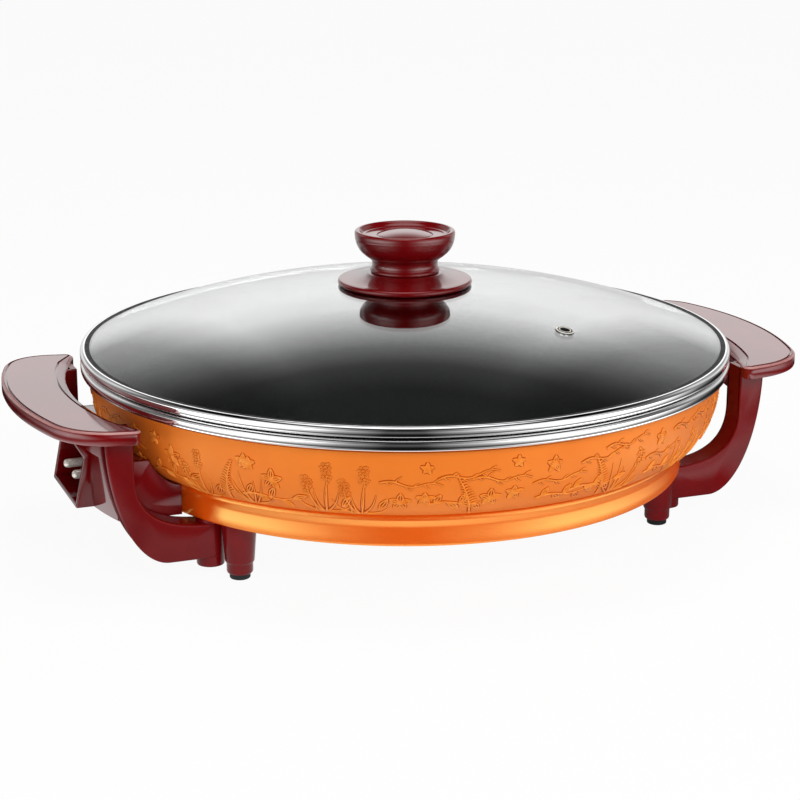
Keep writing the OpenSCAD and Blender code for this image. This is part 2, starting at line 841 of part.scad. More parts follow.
module lid_glass() {
    vent_bore_d = vent_hole_d + 2 * vent_sheet + 2 * fit;
    color([0.75, 0.78, 0.80, 0.4])
    difference() {
        rotate_extrude()
        polygon(concat(dome_arc(dome_r, 0, glass_r), backwards(dome_arc(dome_in_r, 0, glass_r))));
        translate([0, 0, dome_z]) cylinder(d = screw_hole_d, h = 2 * dome_r);
        at_vent()
        translate([0, 0, -2 * glass_t]) cylinder(d = vent_bore_d, h = 4 * glass_t, $fn = 48);
    }
}

module lid_rim() {
    skirt_low = lid_low - band_skirt_h;
    color(bright)
    rotate_extrude()
    polygon([[band_skirt_r - band_sheet, skirt_low], [band_skirt_r, skirt_low], [band_skirt_r, lid_low],
        [band_r, lid_low], [band_r, band_top], [lip_r, band_top], [lip_r, band_top - band_sheet],
        [band_r - band_sheet, band_top - band_sheet], [band_r - band_sheet, band_floor],
        [band_skirt_r - band_sheet, band_floor]]);
}

module vent_grommet() {
    hole_r = vent_hole_d / 2;
    tube_r = hole_r + vent_sheet;
    eyelet_r = vent_flange_d / 2;
    low = -glass_t - fit;
    color(bright)
    at_vent()
    rotate_extrude($fn = 48)
    polygon([[hole_r, low - vent_sheet], [eyelet_r, low - vent_sheet], [eyelet_r, low],
        [tube_r, low], [tube_r, 0], [eyelet_r, 0],
        [eyelet_r - vent_sheet / 2, vent_sheet], [hole_r, vent_sheet]]);
}

module knob_base() {
    edge_low = dome_height(dome_r + fit, flange_r);
    gasket_r = gasket_d / 2;
    color(burgundy)
    rotate_extrude()
    polygon(concat([[screw_hole_d / 2, knob_low]],
        dome_arc(dome_r + gasket_t + fit, screw_hole_d / 2, gasket_r + fit),
        dome_arc(dome_r + fit, gasket_r + fit, flange_r - past / 2),
        arc([flange_r - knob_flange_t / 2, edge_low + knob_flange_t / 2], knob_flange_t / 2, -70, 70),
        bezier([[flange_r - knob_flange_t / 2, edge_low + knob_flange_t],
            [flange_r - 3 * knob_flange_t, edge_low + knob_flange_t + past],
            [neck_r + 2 * knob_flange_t, knob_low - past], [neck_r + past, knob_low]])));
}

module knob_grip() {
    waist = knob_neck_h / 2;
    edge = knob_edge / 2;
    color(burgundy)
    difference() {
        rotate_extrude()
        polygon(concat([[0, knob_low]],
            arc([neck_r - edge + past, knob_low + edge], edge, -90, 60),
            [[neck_r, knob_low + waist]],
            bezier([[neck_r + past, cup_low], [neck_r + waist, cup_low + past],
                [cup_r, cup_low + knob_cup_h / 3], [cup_r, knob_top - edge]]),
            arc([cup_r - edge, knob_top - edge], edge, 0, 110),
            [[dish_r, knob_top - edge], [dish_r - edge, dish_z], [0, dish_z]]));
        translate([0, 0, knob_low - past])
        cylinder(d = screw_d + 2 * fit, h = knob_screw_l + past, $fn = 48);
        translate([0, 0, dish_z - cap_pocket])
        cylinder(r = cap_r + fit, h = 2 * cap_pocket);
    }
}

module knob_cap() {
    low = dish_z - cap_pocket + fit;
    dome = (cap_r * cap_r + knob_cap_rise * knob_cap_rise) / (2 * knob_cap_rise);
    half = asin(cap_r / dome);
    color(burgundy)
    rotate_extrude()
    polygon(concat([[0, low], [cap_r, low]],
        arc([0, dish_z + knob_cap_rise - dome], dome, 90 - half, 90)));
}

// The screw comes up through the washer and the glass into the cup's neck
module knob_screw() {
    seat = apex - glass_t - washer_t - 2 * fit;
    color(steel)
    screw(seat, knob_screw_l + apex - seat, screw_d, 2 * screw_d, screw_head_h);
}

module knob_washer() {
    color(steel)
    difference() {
        translate([0, 0, apex - glass_t - washer_t - fit]) cylinder(d = washer_d, h = washer_t);
        translate([0, 0, dome_z]) cylinder(d = screw_hole_d, h = 2 * dome_r);
    }
}

module knob_gasket() {
    gasket_r = gasket_d / 2;
    color(black)
    rotate_extrude()
    polygon(concat(dome_arc(dome_r + fit / 2, screw_d, gasket_r),
        backwards(dome_arc(dome_r + gasket_t, screw_d, gasket_r))));
}

cooking_pan();
outer_shell();
heat_spreader();
heating_element();
terminal_pins();
terminal_beads();
base_skirt();
base_plate();
base_screws();
handle_left();
handle_right();
handle_screws();
handle_nuts();
inlet_housing();
pin_plate();
housing_screws();
foot_front_left();
foot_front_right();
foot_back_left();
foot_back_right();
foot_tip_front_left();
foot_tip_front_right();
foot_tip_back_left();
foot_tip_back_right();
foot_screws();
foot_nuts();
lid_glass();
lid_rim();
vent_grommet();
knob_base();
knob_grip();
knob_cap();
knob_screw();
knob_washer();
knob_gasket();
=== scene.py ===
import json
import math
import random

import bmesh
import bpy
from mathutils import Matrix, Vector

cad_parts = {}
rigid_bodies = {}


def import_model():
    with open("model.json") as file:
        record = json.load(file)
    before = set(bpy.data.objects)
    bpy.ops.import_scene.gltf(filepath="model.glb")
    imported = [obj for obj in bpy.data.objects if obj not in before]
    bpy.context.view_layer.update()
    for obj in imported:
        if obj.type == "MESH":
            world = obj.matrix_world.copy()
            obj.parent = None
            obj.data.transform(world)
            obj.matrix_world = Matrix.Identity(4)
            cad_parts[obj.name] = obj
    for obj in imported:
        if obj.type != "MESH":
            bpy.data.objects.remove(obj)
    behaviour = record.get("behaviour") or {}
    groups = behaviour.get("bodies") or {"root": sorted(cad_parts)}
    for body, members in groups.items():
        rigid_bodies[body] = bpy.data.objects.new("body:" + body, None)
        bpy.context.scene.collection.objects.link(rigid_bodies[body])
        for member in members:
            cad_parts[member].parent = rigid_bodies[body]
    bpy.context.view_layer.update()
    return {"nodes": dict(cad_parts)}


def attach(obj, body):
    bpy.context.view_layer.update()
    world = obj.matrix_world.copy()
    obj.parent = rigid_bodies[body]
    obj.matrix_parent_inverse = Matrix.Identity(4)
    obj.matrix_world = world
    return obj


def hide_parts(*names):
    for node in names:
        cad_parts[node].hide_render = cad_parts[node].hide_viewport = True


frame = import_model()
scene = bpy.context.scene
scene.view_settings.view_transform = "Standard"
print("frame loaded:", len(frame["nodes"]), "nodes")

mm = 0.001
maths, vectorMaths = "ShaderNodeMath", "ShaderNodeVectorMath"


def linear(hexColour):  # sRGB hex to linear colour
    parts = [int(hexColour[i:i + 2], 16) / 255 for i in (1, 3, 5)]
    return (*[c / 12.92 if c <= 0.04045 else ((c + 0.055) / 1.055) ** 2.4 for c in parts], 1)


def addNode(tree, kind, settings=None, links=None):
    node = tree.nodes.new(kind)
    for key, value in (settings or {}).items():
        if isinstance(key, int) or key in node.inputs:
            node.inputs[key].default_value = value
        else:
            setattr(node, key, value)
    for key, source in (links or {}).items():  # a node stands for its first output
        tree.links.new(source.outputs[0] if isinstance(source, bpy.types.Node) else source, node.inputs[key])
    return node


# Materials: what each one is, then its colours, its patterns in mm and its gloss

def surface(name, finish):
    material = bpy.data.materials.new(name)
    material.use_nodes = True
    tree = material.node_tree
    shader = tree.nodes["Principled BSDF"]
    for key, value in finish.items():  # some are inputs of the shader
        if key in shader.inputs:
            shader.inputs[key].default_value = value
    place = addNode(tree, "ShaderNodeTexCoord").outputs["Object"]
    if "stretch" in finish:
        place = addNode(tree, "ShaderNodeMapping", {"Scale": finish["stretch"]}, {"Vector": place}).outputs[0]
    patches, grain = [addNode(tree, "ShaderNodeTexNoise", {"Scale": 1 / (finish[key] * mm), "Detail": detail},
                              {"Vector": place}) for key, detail in (("patch", 3.0), ("grain", 2.0))]
    spread = addNode(tree, "ShaderNodeMapRange", {1: 0.35, 2: 0.65}, {0: patches.outputs["Fac"]})
    ends = {6: linear(finish["base"]), 7: linear(finish["tint"])}
    colour = addNode(tree, "ShaderNodeMix", {"data_type": "RGBA", **ends}, {0: spread})
    low, high = finish["rough"]
    rough = addNode(tree, "ShaderNodeMapRange", {1: 0.3, 2: 0.7, 3: low, 4: high}, {0: patches.outputs["Fac"]})
    strength, depth = finish["bump"]
    bump = addNode(tree, "ShaderNodeBump", {"Strength": strength, "Distance": depth * mm},
                   {"Height": grain.outputs["Fac"]})
    for key, output in (("Base Color", colour.outputs[2]), ("Roughness", rough.outputs[0]),
                        ("Normal", bump.outputs[0])):
        tree.links.new(output, shader.inputs[key])
    return material


finishes = {
    # metallic lacquer on the pressed skirt: red orange ground, yellow reflections, faint orange peel
    "orangeLacquer": {
        "base": "#fa620e", "tint": "#f45c0e", "patch": 60, "grain": 1.6, "rough": (0.18, 0.24),
        "bump": (0.05, 0.08), "IOR": 3.4, "Specular Tint": (1.0, 0.86, 0.24, 1)},
    # the same lacquer over the cast bowl, left satin and softer; its paler, yellower ground is partly a painted
    # broad sheen
    "satinLacquer": {
        "base": "#e8741e", "tint": "#e26c1a", "patch": 50, "grain": 1.2, "rough": (0.5, 0.6),
        "bump": (0.08, 0.08), "IOR": 2.0, "Specular Tint": (1.0, 0.82, 0.28, 1)},
    # the raised lines painted a little lighter than the ground, a painted highlight, and glossier
    "ridgeHighlightLacquer": {
        "base": "#f28a2e", "tint": "#ea7c22", "patch": 6, "grain": 0.8, "rough": (0.26, 0.36),
        "bump": (0.06, 0.05), "IOR": 2.0, "Specular Tint": (1.0, 0.82, 0.28, 1)},
    # painted shade along the foot of the raised lines: a deeper, browner copy of the lacquer
    "paintedShadeLacquer": {
        "base": "#c04a0c", "tint": "#b0420a", "patch": 8, "grain": 0.8, "rough": (0.4, 0.5),
        "bump": (0.05, 0.05), "IOR": 1.5, "Specular Tint": (1.0, 0.7, 0.3, 1)},
    # compression-moulded phenolic: deep burgundy with a hard wet gloss
    "burgundyPhenolic": {
        "base": "#74080d", "tint": "#66060a", "patch": 35, "grain": 0.9, "rough": (0.07, 0.12),
        "bump": (0.03, 0.05), "Coat Weight": 0.45, "Coat Roughness": 0.03},
    # the same phenolic as it leaves the mould, on arms and feet: less gloss
    "mouldedPhenolic": {
        "base": "#74080d", "tint": "#66060a", "patch": 35, "grain": 0.9, "rough": (0.16, 0.24),
        "bump": (0.04, 0.05), "Specular IOR Level": 0.28},
    # a paler, duller band round the grip's edge chamfer: a painted edge highlight
    "edgeHighlightPhenolic": {
        "base": "#b98784", "tint": "#a97673", "patch": 12, "grain": 0.6, "rough": (0.3, 0.42),
        "bump": (0.06, 0.04)},
    # buffed stainless band: mirror with very faint turning lines
    "buffedSteel": {
        "base": "#f4f4f4", "tint": "#ebebec", "patch": 9, "grain": 0.8, "rough": (0.03, 0.07),
        "bump": (0.02, 0.02), "stretch": (0.05, 0.05, 1), "Metallic": 1.0},
    # turned and polished aluminium rim
    "polishedAluminium": {
        "base": "#f0f0f0", "tint": "#e6e6e7", "patch": 6, "grain": 0.6, "rough": (0.06, 0.12),
        "bump": (0.03, 0.02), "stretch": (0.05, 0.05, 1), "Metallic": 1.0},
    # sprayed fluoropolymer on the pan's inside: near black, fine speckle, satin
    "nonStickCoat": {
        "base": "#0b0b0c", "tint": "#121213", "patch": 1.4, "grain": 0.5, "rough": (0.34, 0.46),
        "bump": (0.12, 0.05), "Specular IOR Level": 0.03},
    # tempered soda-lime glass under a hard scratch coat: clear, with strong reflections
    "temperedGlass": {
        "base": "#f4f8f7", "tint": "#f1f6f5", "patch": 80, "grain": 30, "rough": (0.0, 0.012),
        "bump": (0.01, 0.02), "Transmission Weight": 1.0, "IOR": 1.5,
        "Coat Weight": 1.0, "Coat IOR": 1.8, "Coat Roughness": 0.0},
    # moulded nitrile rubber: matt black
    "nitrileRubber": {
        "base": "#131313", "tint": "#1b1b1b", "patch": 3, "grain": 0.5, "rough": (0.55, 0.7),
        "bump": (0.15, 0.05)},
    # zinc-plated steel: pale grey with a cloudy sheen
    "zincSteel": {
        "base": "#b9bcc0", "tint": "#a9acb0", "patch": 7, "grain": 0.7, "rough": (0.26, 0.4),
        "bump": (0.06, 0.03), "Metallic": 1.0},
    # nickel-plated brass: warm, bright and slightly frosted by the die
    "nickelPlate": {
        "base": "#f1ede4", "tint": "#e6e1d6", "patch": 4, "grain": 0.4, "rough": (0.24, 0.34),
        "bump": (0.03, 0.02), "Metallic": 0.4},
    # heat-stained sheath of the heating tube
    "stainedSheath": {
        "base": "#5c5650", "tint": "#47413f", "patch": 12, "grain": 0.8, "rough": (0.4, 0.55),
        "bump": (0.1, 0.05), "Metallic": 1.0},
    # rolled aluminium sheet
    "rolledAluminium": {
        "base": "#bfc1c3", "tint": "#b1b3b6", "patch": 5, "grain": 0.6, "rough": (0.3, 0.42),
        "bump": (0.05, 0.03), "stretch": (0.06, 1, 1), "Metallic": 1.0},
    # fired steatite beads: chalky white
    "firedSteatite": {
        "base": "#e4e0d6", "tint": "#d8d3c7", "patch": 2.5, "grain": 0.4, "rough": (0.5, 0.65),
        "bump": (0.12, 0.04)},
    # moulded insulating board: black and dull
    "insulatorBoard": {
        "base": "#151516", "tint": "#1e1e1f", "patch": 4, "grain": 0.5, "rough": (0.5, 0.62),
        "bump": (0.12, 0.05)},
}
materials = {name: surface(name, finish) for name, finish in finishes.items()}
print("materials made:", len(materials))


# Shapes: everything is drawn in mm and stored in metres

def arcPoints(centre, radius, start, end, steps=12):
    angles = [math.radians(start + (end - start) * i / steps) for i in range(steps + 1)]
    return [(centre[0] + radius * math.cos(a), centre[1] + radius * math.sin(a)) for a in angles]


def bezierPoints(p0, p1, p2, p3, steps=24):
    points = []
    for i in range(steps + 1):
        t = i / steps
        s = 1 - t
        points.append(tuple(s ** 3 * a + 3 * s * s * t * b + 3 * s * t * t * c + t ** 3 * d
                            for a, b, c, d in zip(p0, p1, p2, p3)))
    return points


def roundCorners(corners, steps=5):  # closed loop of (u, v, corner radius)
    points = []
    for i, (u, v, radius) in enumerate(corners):
        here = Vector((u, v))
        before = Vector(corners[i - 1][:2]) - here
        after = Vector(corners[(i + 1) % len(corners)][:2]) - here
        reach = min(before.length, after.length) / 2.02
        turn = math.pi - before.angle(after)
        if radius <= 0 or turn < 0.02:
            points.append((u, v))
            continue
        cut = min(radius * math.tan(turn / 2), reach)
        start, end = here + before.normalized() * cut, here + after.normalized() * cut
        for k in range(steps + 1):
            t = k / steps
            bend = (1 - t) * (1 - t) * start + 2 * t * (1 - t) * here + t * t * end
            points.append((bend.x, bend.y))
    return points


def beside(points, distance):  # open curve moved to the right of its direction
    moved = []
    for i, point in enumerate(points):
        ahead = Vector(points[min(i + 1, len(points) - 1)]) - Vector(points[max(i - 1, 0)])
        ahead.normalize()
        moved.append((point[0] + distance * ahead.y, point[1] - distance * ahead.x))
    return moved


def addRings(bm, rings, slots=None):  # closed rings of points joined in order and capped
    made = [[bm.verts.new(Vector(p) * mm) for p in ring] for ring in rings]
    for k in range(len(made) - 1):
        count = len(made[k])
        for i in range(count):
            n = (i + 1) % count
            face = bm.faces.new((made[k][i], made[k][n], made[k + 1][n], made[k + 1][i]))
            face.material_index = slots[k] if slots else 0
    bm.faces.new(made[0][::-1])
    bm.faces.new(made[-1])


def addLathe(bm, profile, steps=160, loop=False, slots=None, matrix=None):
    # (radius, height) points turned about Z; a zero radius closes on the axis
    def at(point, i):
        a = 2 * math.pi * i / steps
        p = Vector((point[0] * math.cos(a), point[0] * math.sin(a), point[1]))
        return (matrix @ p if matrix else p) * mm
    columns = []
    for point in profile:
        if point[0] < 1e-6:
            columns.append([bm.verts.new(at(point, 0))] * steps)
        else:
            columns.append([bm.verts.new(at(point, i)) for i in range(steps)])
    last = len(columns) if loop else len(columns) - 1
    for k in range(last):
        a, b = columns[k], columns[(k + 1) % len(columns)]
        for i in range(steps):
            n = (i + 1) % steps
            corners = list(dict.fromkeys((a[i], a[n], b[n], b[i])))  # each vertex once
            if len(corners) > 2:
                face = bm.faces.new(corners)
                face.material_index = slots[k] if slots else 0


def inwards(outline):  # mitred inward directions of an anticlockwise loop
    found = []
    for i, point in enumerate(outline):
        before = (Vector(point) - Vector(outline[i - 1])).normalized()
        after = (Vector(outline[(i + 1) % len(outline)]) - Vector(point)).normalized()
        a, b = Vector((-before.y, before.x)), Vector((-after.y, after.x))
        found.append((a + b) / max(0.35, 1 + a.dot(b)))
    return found


def anticlockwise(outline):
    area = sum(p[0] * q[1] - q[0] * p[1] for p, q in zip(outline, outline[1:] + outline[:1]))
    return outline if area > 0 else outline[::-1]


def addPlate(bm, outline, low, high, edge, place, steps=3):  # slab with rounded edges
    outline = anticlockwise(list(outline))
    inner = inwards(outline)
    turns = [math.pi / 2 * k / steps for k in range(steps + 1)]
    levels = [(edge * (1 - math.sin(a)), low + edge * (1 - math.cos(a))) for a in turns]
    levels += [(d, high + low - h) for d, h in reversed(levels)]
    rings = [[place(p[0] + d * n.x, p[1] + d * n.y, h) for p, n in zip(outline, inner)] for d, h in levels]
    addRings(bm, rings)


def addShell(bm, front, back):  # closed sheet between two equal grids of points
    rows, columns = len(front), len(front[0])
    grids = [[[bm.verts.new(Vector(p) * mm) for p in row] for row in grid] for grid in (front, back)]
    for g in grids:
        for i in range(rows - 1):
            for j in range(columns - 1):
                bm.faces.new((g[i][j], g[i][j + 1], g[i + 1][j + 1], g[i + 1][j]))
    rim = [(0, j) for j in range(columns)] + [(i, columns - 1) for i in range(1, rows)]
    rim += [(rows - 1, j) for j in range(columns - 2, -1, -1)] + [(i, 0) for i in range(rows - 2, 0, -1)]
    for (a, b), (c, d) in zip(rim, rim[1:] + rim[:1]):
        bm.faces.new((grids[0][a][b], grids[0][c][d], grids[1][c][d], grids[1][a][b]))


def solidFrom(name, bm):  # object made of a drawn shape
    bmesh.ops.recalc_face_normals(bm, faces=bm.faces)
    mesh = bpy.data.meshes.new(name)
    bm.to_mesh(mesh)
    bm.free()
    solid = bpy.data.objects.new(name, mesh)
    scene.collection.objects.link(solid)
    return solid


def settle(piece, modifier):  # keeps what a modifier makes as the mesh
    mesh = bpy.data.meshes.new_from_object(piece.evaluated_get(bpy.context.evaluated_depsgraph_get()))
    piece.modifiers.remove(modifier)
    piece.data = mesh


def enlist(piece, body, nodes):
    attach(piece, body)
    if nodes:
        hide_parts(*nodes)
    print("piece", piece.name, len(piece.data.polygons), "faces")


def finishPiece(name, bm, finish, body, nodes, sharp=32):
    piece = solidFrom(name, bm)
    mesh = piece.data
    for each in finish if isinstance(finish, list) else [finish]:
        mesh.materials.append(materials[each])
    mesh.polygons.foreach_set("use_smooth", [True] * len(mesh.polygons))
    mesh.set_sharp_from_angle(angle=math.radians(sharp))
    enlist(piece, body, nodes)
    return piece


def turnPiece(name, profile, steps, finish, body, nodes, sharp=32, loop=True, slots=None, matrix=None):
    bm = bmesh.new()
    addLathe(bm, profile, steps, loop, slots, matrix)
    return finishPiece(name, bm, finish, body, nodes, sharp)


def carve(piece, bm):  # takes a closed shape out of a piece
    cutter = solidFrom("cutter", bm)
    cut = piece.modifiers.new("cut", "BOOLEAN")
    cut.object, cut.solver = cutter, "EXACT"
    settle(piece, cut)
    bpy.data.objects.remove(cutter)


def standAt(radius, degrees):
    a = math.radians(degrees)
    return Matrix.Translation((radius * math.cos(a), radius * math.sin(a), 0))


# Pan: polished rim outside, non-stick coat inside

bowl = {"top": (160.0, 79.8), "belly": (162.0, 63.0), "toe": (153.4, 44.0), "foot": (141.4, 44.0)}
bowlCurve = bezierPoints(bowl["top"], bowl["belly"], bowl["toe"], bowl["foot"], 48)

pan = {"wall": 2.4, "nest": 1.5, "floorTop": 48.8, "floorLow": 45.2, "studRadius": 50.0}
outside = [p for p in beside(bowlCurve, pan["nest"]) if p[1] > pan["floorLow"] + 0.6][::-1]
inside = [p for p in beside(bowlCurve, pan["nest"] + pan["wall"]) if p[1] > pan["floorTop"] + 5][1:]
rim = [(160.2, 79.9)] + arcPoints((163.4, 82.0), 1.6, -60, 0, 6) + arcPoints((162.8, 83.8), 2.2, 0, 90, 10)
rim += arcPoints((157.3, 84.8), 1.2, 90, 180, 5)
heel = inside[-1]
floorBend = bezierPoints(heel, (heel[0] - 1.6, heel[1] - 3.4), (heel[0] - 4.5, pan["floorTop"]),
                         (heel[0] - 9, pan["floorTop"]), 8)[1:]
panProfile = [(0, pan["floorLow"]), (138.0, pan["floorLow"])] + outside + rim + inside + floorBend
panProfile.append((0, pan["floorTop"]))
rimEnd = 1 + len(outside) + len(rim)
panSlots = [int(k >= rimEnd) for k in range(len(panProfile))]  # the coat starts past the rim
bm = bmesh.new()
addLathe(bm, panProfile, 256, slots=panSlots)
for a in (45, 135, 225, 315):  # studs for the base screws
    addLathe(bm, [(2.1, 30.8), (5.0, 30.8), (5.0, 45.3), (2.1, 45.3)], 32, True,
             matrix=standAt(pan["studRadius"], a))
finishPiece("panBody", bm, ["polishedAluminium", "nonStickCoat"], "base", ["cooking_pan"])

# Orange bowl and skirt

shell = {"wall": 1.2, "flange": 129.4}
shellLow = bowl["foot"][1]
shellProfile = [(158.95, 79.75), (158.95, 79.0), (160.15, 78.75)] + bowlCurve[2:]
shellProfile += [(shell["flange"], shellLow), (shell["flange"], shellLow + shell["wall"])]
shellProfile += [p for p in beside(bowlCurve, shell["wall"]) if p[1] > shellLow + shell["wall"]][::-1]
turnPiece("shellBowl", shellProfile, 256, "satinLacquer", "base", ["outer_shell"])

skirt = {"low": 28.3, "bead": 2.4, "lip": 119.2, "flange": 129.4}
skirtProfile = [(skirt["lip"], skirt["low"])] + arcPoints((140.9, skirt["low"] + 1.3), 1.3, -90, 0, 6)
skirtProfile += [(142.15, 33.0), (142.05, 37.0)] + arcPoints((140.6, 41.6), skirt["bead"], -42, 84, 12)
skirtProfile += [(139.6, 43.95), (skirt["flange"], 43.95), (skirt["flange"], 42.8), (140.6, 42.8),
                 (140.6, 29.5), (skirt["lip"], 29.5)]
turnPiece("skirtRing", skirtProfile, 256, "orangeLacquer", "base", ["base_skirt"])

# Feet: tapered posts with a collar, on rubber tips

feet = {"radius": 131.7, "angle": 32.5}
postProfile = [(2.2, 28.3), (8.5, 28.3), (8.45, 27.6), (7.1, 9.2), (6.85, 8.5), (6.5, 8.25), (6.35, 7.9),
               (6.35, 3.9), (6.1, 3.2), (5.6, 2.75), (5.0, 2.6), (4.2, 2.6), (4.2, 12.8), (2.2, 12.8)]
tipProfile = [(0, 0)] + arcPoints((4.2, 0.8), 0.8, -90, 0, 5) + [(5.0, 2.58), (4.1, 2.6), (4.1, 8.7), (0, 8.7)]
for name, turn, way in (("front_left", 180, 1), ("front_right", 0, -1), ("back_left", 180, -1),
                        ("back_right", 0, 1)):
    spot = standAt(feet["radius"], turn + way * feet["angle"])
    turnPiece("footPost_" + name, postProfile, 64, "mouldedPhenolic", "base", ["foot_" + name],
              40, matrix=spot)
    turnPiece("footTip_" + name, tipProfile, 48, "nitrileRubber", "base", ["foot_tip_" + name],
              40, loop=False, matrix=spot)

# Handles: a crescent grip on two hollow arms, with an apron along the inner edge

grip = {"innerR": 172.5, "reach": 204.5, "half": 76.0, "taper": 16.3, "corner": 28.0, "point": 4.0,
        "top": 79.6, "thick": 6.8, "tilt": 3.2}
# plate edge from underside to top: offset and depth on the outer side, then on the hollow side
gripEdge = [(1.2, 6.8, 1.2, 6.8), (0.35, 6.45, 0.35, 6.45), (0, 5.7, 0, 5.8), (0, 1.25, 0, 3.0),
            (0.12, 0.95, 0.2, 2.5), (1.1, 0.12, 0.6, 2.1), (1.4, 0, 1.7, 1.3), (1.6, 0, 4.3, 0.1),
            (1.75, 1.1, 4.45, 1.2), (2.6, 1.1, 5.3, 1.2), (2.75, 0, 5.45, 0)]
chamferRow = 4  # row of gripEdge where the painted edge highlight starts
arm = {"face": 66.0, "depth": 14.0, "cheek": 2.5, "outR": 185.0, "endR": 137.6, "low": 9.6, "top": 26.6,
       "bend": 27.0, "wall": 3.0, "bossX": 122.1, "bossY": 59.0}
bossProfile = [(2.2, 28.3), (6.7, 28.3), (6.7, 5.3), (6.5, 4.8), (6.0, 4.6), (4.2, 4.6), (4.2, 12.8),
               (2.2, 12.8)]
# rows: share of the height, and how far the edge is eased back there
apronWall = {"low": 57.3, "thick": 3.0, "corner": 8.0,
             "rows": ((0, 0.8), (0.02, 0.25), (0.08, 0), (0.5, 0), (1, 0))}


def gripOutline():
    half, taper, corner, point, innerR = [grip[k] for k in ("half", "taper", "corner", "point", "innerR")]
    outerR = (half ** 2 + taper ** 2) / (2 * taper)
    outerC = grip["reach"] - outerR
    cornerY = half - corner
    cornerX = outerC + math.sqrt((outerR - corner) ** 2 - cornerY ** 2)
    cornerA = math.degrees(math.atan2(cornerY, cornerX - outerC))
    pointY = half - point
    pointX = math.sqrt((innerR + point) ** 2 - pointY ** 2)
    pointA = math.degrees(math.atan2(pointY, pointX))
    loop = arcPoints((outerC, 0), outerR, -cornerA, cornerA, 32)[:-1]
    loop += arcPoints((cornerX, cornerY), corner, cornerA, 90, 12)
    loop += arcPoints((pointX, pointY), point, 90, 180 + pointA, 8)
    hollow = len(loop)
    loop += arcPoints((0, 0), innerR, pointA, -pointA, 48)[1:-1]
    hollowEnd = len(loop)
    loop += arcPoints((pointX, -pointY), point, 180 - pointA, 270, 8)
    loop += arcPoints((cornerX, -cornerY), corner, -90, -cornerA, 12)[:-1]
    return loop, hollow, hollowEnd


def gripHeight(x):
    return grip["top"] + (x - grip["innerR"]) * math.tan(math.radians(grip["tilt"]))


def buildHandle(name, node, side, slot):  # side is 1 or -1, slot half the inlet's width
    def put(x, y, z):
        return (side * x, side * y, z)
    bm = bmesh.new()
    loop, hollow, hollowEnd = gripOutline()
    inner = inwards(loop)
    rings = []
    for outOff, outDeep, inOff, inDeep in gripEdge:
        ring = []
        for i, (p, n) in enumerate(zip(loop, inner)):
            share = min(max(0, i - hollow + 1), max(0, hollowEnd - i)) / 5
            share = min(1, share) if hollow <= i < hollowEnd else 0
            off, deep = outOff + (inOff - outOff) * share, outDeep + (inDeep - outDeep) * share
            x, y = p[0] + off * n.x, p[1] + off * n.y
            ring.append(put(x, y, gripHeight(x) - deep))
        rings.append(ring)
    # the chamfer band takes the paler phenolic: a painted edge highlight
    chamfer = [2 if k == chamferRow else 0 for k in range(len(rings) - 1)]
    addRings(bm, rings, chamfer)
    plateFaces = len(bm.faces)
    # arms: section as radius and height
    gripMid = grip["top"] - grip["thick"] / 2
    bend = arm["bend"]
    outR, innerR, low, top = arm["outR"], grip["innerR"], arm["low"], arm["top"]
    outer = bezierPoints((outR, gripMid), (outR, low + bend), (outR - bend / 2, low), (outR - bend, low), 24)
    innerEdge = bezierPoints((arm["endR"], top), (innerR - bend / 2, top), (innerR, top + bend / 4),
                             (innerR, top + bend), 24) + [(innerR, gripMid)]

    def across(r, y=arm["face"]):
        return math.sqrt(r * r - y * y)
    side0 = arm["face"] - arm["depth"]
    wallFront = [(across(r), z) for r, z in innerEdge]
    wallBack = beside(wallFront, arm["wall"])
    cheek = [(across(r), z) for r, z in outer + [(arm["endR"], low)] + innerEdge]
    for s in (-1, 1):
        for y0, soft in ((arm["face"] - arm["cheek"], 0.9), (side0, 0.6)):
            addPlate(bm, cheek, y0, y0 + arm["cheek"], soft, lambda u, v, w, s=s: put(u, s * w, v))
        ys = (side0 + 0.8, arm["face"] - 1)
        addShell(bm, [[put(x, s * y, z) for y in ys] for x, z in wallFront],
                 [[put(x, s * y, z) for y in ys] for x, z in wallBack])
        spot = Matrix.Translation(put(arm["bossX"], s * arm["bossY"], 0))
        addLathe(bm, bossProfile, 48, True, matrix=spot)
    # apron, split by the inlet on the left handle
    edge, corner = side0 + 1, apronWall["corner"]
    spans = [(-edge, edge)] if slot == 0 else [(-edge, -slot), (slot, edge)]
    for y0, y1 in spans:
        ys = [y0 + (y1 - y0) * j / 40 for j in range(41)]
        past = [min(max(0, abs(y) - (side0 - corner)), corner) for y in ys]
        lows = [apronWall["low"] - corner + math.sqrt(corner ** 2 - d ** 2) for d in past]
        top = grip["top"] - grip["thick"] + 0.8
        grids = []
        for r0, soft in ((innerR + 0.1, 1), (innerR + apronWall["thick"] - 0.1, -1)):
            grids.append([[put(across(r0 + soft * e, y), y, low + (top - low) * t) for y, low in zip(ys, lows)]
                          for t, e in apronWall["rows"]])
        addShell(bm, *grids)
    for face in list(bm.faces)[plateFaces:]:
        face.material_index = 1
    finishPiece(name, bm, ["burgundyPhenolic", "mouldedPhenolic", "edgeHighlightPhenolic"], "base", [node],
                34)


buildHandle("handleRight", "handle_right", 1, 0)
buildHandle("handleLeft", "handle_left", -1, 26.2)

# Inlet housing under the left handle: socket mouth, terminal box and its walls

